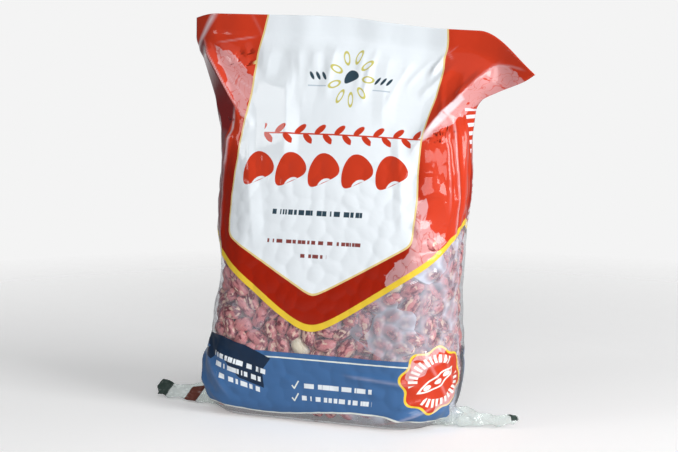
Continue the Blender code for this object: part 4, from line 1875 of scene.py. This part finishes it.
@dataclass(frozen=True)
class Studio:
    """The pale floor, the soft light and the camera."""

    azimuth: float = 22.0
    elevation: float = 7.5
    distance: float = 0.96
    lens: float = 85.0
    aim: tuple[float, float, float] = (0.0013, 0.0, 0.1148)
    floor_size: float = 3.0
    floor_drop: float = 0.0003
    floor_seen: float = 0.96
    floor_bounce: float = 0.45
    fade_start: float = 0.20
    fade_end: float = 0.70
    glow: float = 0.08
    glow_seen: float = 0.21
    backdrop: float = 0.905
    ambience: float = 0.28
    dark_side: float = 0.02
    mirrored: float = 0.10

    def away(self, azimuth: float, elevation: float, distance: float) -> Vector:
        """A place round the bag, by its turn from the front to the right, its rise and its distance.

        Args:
            azimuth: Turn from the front, in degrees.
            elevation: Rise over the floor, in degrees.
            distance: Distance from the point looked at, in metres.

        Returns:
            The place.
        """
        turn, rise = math.radians(azimuth), math.radians(elevation)
        flat = distance * math.cos(rise)
        offset = (flat * math.sin(turn), -flat * math.cos(turn), distance * math.sin(rise))
        return Vector(self.aim) + Vector(offset)

    def floor(self) -> None:
        """A pale floor that fades into the backdrop, and stays off the part."""
        bm = bmesh.new()
        bmesh.ops.create_grid(bm, x_segments=1, y_segments=1, size=self.floor_size)
        bmesh.ops.translate(bm, verts=bm.verts, vec=(0, 0, -self.floor_drop))
        mesh = finished_mesh(bm, "floor")
        floor = bpy.data.objects.new("floor", mesh)
        bpy.context.scene.collection.objects.link(floor)
        material = bpy.data.materials.new("pale_floor")
        material.use_nodes = True
        tree = material.node_tree
        shader = tree.nodes["Principled BSDF"]
        shader.inputs["Roughness"].default_value = 0.55
        shader.inputs["Specular IOR Level"].default_value = 0.2
        path = tree.nodes.new("ShaderNodeLightPath")
        seen = Field(tree, path.outputs["Is Camera Ray"]) * (self.floor_seen - self.floor_bounce)
        white = tree.nodes.new("ShaderNodeCombineColor")
        for socket in white.inputs:
            tree.links.new((seen + self.floor_bounce).socket, socket)
        tree.links.new(white.outputs[0], shader.inputs["Base Color"])
        shader.inputs["Emission Color"].default_value = (1.0, 1.0, 1.0, 1.0)
        glow = Field(tree, path.outputs["Is Camera Ray"]) * (self.glow_seen - self.glow) + self.glow
        tree.links.new(glow.socket, shader.inputs["Emission Strength"])
        place = tree.nodes.new("ShaderNodeTexCoord")
        split = tree.nodes.new("ShaderNodeSeparateXYZ")
        tree.links.new(place.outputs["Object"], split.inputs[0])
        far = Field(tree, split.outputs[0]).length_with(Field(tree, split.outputs[1]))
        span = self.fade_end - self.fade_start
        fade = (far * (1 / span)).math("SUBTRACT", self.fade_start / span, clamp=True)
        clear = tree.nodes.new("ShaderNodeBsdfTransparent")
        mixed = tree.nodes.new("ShaderNodeMixShader")
        tree.links.new(fade.socket, mixed.inputs[0])
        tree.links.new(shader.outputs[0], mixed.inputs[1])
        tree.links.new(clear.outputs[0], mixed.inputs[2])
        tree.links.new(mixed.outputs[0], tree.nodes["Material Output"].inputs["Surface"])
        mesh.materials.append(material)

    def toward(self, tree: bpy.types.NodeTree, azimuth: float, elevation: float) -> Field:
        """How far a ray of the world looks towards a direction, from -1 to 1.

        Args:
            tree: The world's node tree.
            azimuth: Turn from the front, in degrees.
            elevation: Rise over the floor, in degrees.

        Returns:
            The share.
        """
        ray = tree.nodes.new("ShaderNodeTexCoord")
        towards = tree.nodes.new("ShaderNodeVectorMath")
        towards.operation = "DOT_PRODUCT"
        tree.links.new(ray.outputs["Generated"], towards.inputs[0])
        towards.inputs[1].default_value = self.away(azimuth, elevation, 1.0) - Vector(self.aim)
        return Field(tree, towards.outputs["Value"])

    def world(self) -> None:
        """A plain bright backdrop, with a dark room on the left that the film mirrors."""
        world = bpy.data.worlds.new("studio")
        bpy.context.scene.world = world
        world.use_nodes = True
        tree = world.node_tree
        seen = tree.nodes["Background"]
        seen.inputs["Color"].default_value = (self.backdrop, self.backdrop, self.backdrop, 1.0)
        soft = tree.nodes.new("ShaderNodeBackground")
        soft.inputs["Color"].default_value = (0.97, 0.985, 1.0, 1.0)
        path = tree.nodes.new("ShaderNodeLightPath")
        glossy = Field(tree, path.outputs["Is Glossy Ray"])
        behind = (self.toward(tree, self.azimuth + 180.0, 0.0) - 0.75).math("MULTIPLY", 4.5, clamp=True)
        mirrored = behind * (self.backdrop - self.mirrored) + self.mirrored
        lit = self.toward(tree, 55.0, 25.0).math("MULTIPLY_ADD", 0.5, 0.5, clamp=True).math("POWER", 2.0)
        ambience = lit * (self.ambience - self.dark_side) + self.dark_side
        strength = glossy * mirrored + glossy.inverse() * ambience
        tree.links.new(strength.socket, soft.inputs["Strength"])
        mixed = tree.nodes.new("ShaderNodeMixShader")
        tree.links.new(path.outputs["Is Camera Ray"], mixed.inputs[0])
        tree.links.new(soft.outputs[0], mixed.inputs[1])
        tree.links.new(seen.outputs[0], mixed.inputs[2])
        tree.links.new(mixed.outputs[0], tree.nodes["World Output"].inputs["Surface"])

    def softbox(self, name: str, azimuth: float, elevation: float, distance: float,
                size: tuple[float, float], power: float) -> None:
        """Hang one softbox.

        Args:
            name: The light's name.
            azimuth: Its turn from the bag's front to the right, in degrees.
            elevation: Its rise, in degrees.
            distance: How far it is from the bag.
            size: Its width and height.
            power: Its power in watts.
        """
        light = bpy.data.lights.new(name, "AREA")
        light.shape = "RECTANGLE"
        light.size, light.size_y = size
        light.energy = power
        lamp = bpy.data.objects.new(name, light)
        lamp.location = self.away(azimuth, elevation, distance)
        lamp.rotation_euler = (Vector(self.aim) - lamp.location).to_track_quat("-Z", "Y").to_euler()
        bpy.context.scene.collection.objects.link(lamp)

    def camera(self) -> None:
        """The camera, at the photograph's viewing angle."""
        lens = bpy.data.cameras.new("camera")
        lens.lens = self.lens
        lens.sensor_width = 36.0
        camera = bpy.data.objects.new("camera", lens)
        camera.location = self.away(self.azimuth, self.elevation, self.distance)
        camera.rotation_euler = (Vector(self.aim) - camera.location).to_track_quat("-Z", "Y").to_euler()
        bpy.context.scene.collection.objects.link(camera)
        bpy.context.scene.camera = camera

    def build(self) -> None:
        """Set up the floor, the light and the camera."""
        self.floor()
        self.world()
        bpy.context.scene.view_settings.view_transform = "Standard"
        self.softbox("front", 25.0, 10.0, 1.5, (0.80, 0.70), 10.5)
        self.softbox("right", 74.0, 13.0, 1.2, (0.5, 0.7), 14.0)
        self.softbox("left", -47.0, 22.0, 1.3, (0.26, 0.42), 2.2)
        self.softbox("top", 30.0, 84.0, 1.2, (1.4, 1.2), 2.4)
        self.camera()


def main() -> None:
    """Build the bag, its contents and its setting."""
    logging.basicConfig(level=logging.INFO, format="%(message)s")
    form = BagForm()
    film = Film(form)
    beans = Beans(form, film)
    mottled = BeanFinish("mottled_bean", ground=(0.680, 0.230, 0.230), streak=(0.200, 0.012, 0.028),
                         spot=(0.880, 0.600, 0.460), amount=0.36)
    pale = BeanFinish("pale_bean", ground=(0.800, 0.700, 0.520), streak=(0.660, 0.560, 0.400),
                      spot=(0.860, 0.780, 0.640), amount=0.0)
    beans.build({BeanKind.MOTTLED: mottled.material(), BeanKind.PALE: pale.material()})
    Core(form, film).build(CoreFinish().material())
    printed = FilmFinish("printed_film", haze=0.50, contact_haze=0.10, roughness=0.07)
    film_material = printed.printed()
    film.build(film_material)
    BackSeam(form).build(film_material)
    left_patches = ((Ink.BROWN, 24.5, 5.0, 4.4, 5.6), (Ink.GREEN, 49.5, 5.5, 6.0, 7.0))
    right_patches = ((Ink.GREEN, 47.5, 5.0, 1.8, 2.4),)
    for side, patches in ((EarSide.LEFT, left_patches), (EarSide.RIGHT, right_patches)):
        finish = FilmFinish(side.value[0] + "_film", haze=0.34, contact_haze=0.34, tint=(0.93, 0.97, 0.95),
                            haze_colour=(0.87, 0.91, 0.91))
        Ear(side).build(finish.ear(patches))
    Studio().build()


if __name__ == "__main__":
    main()
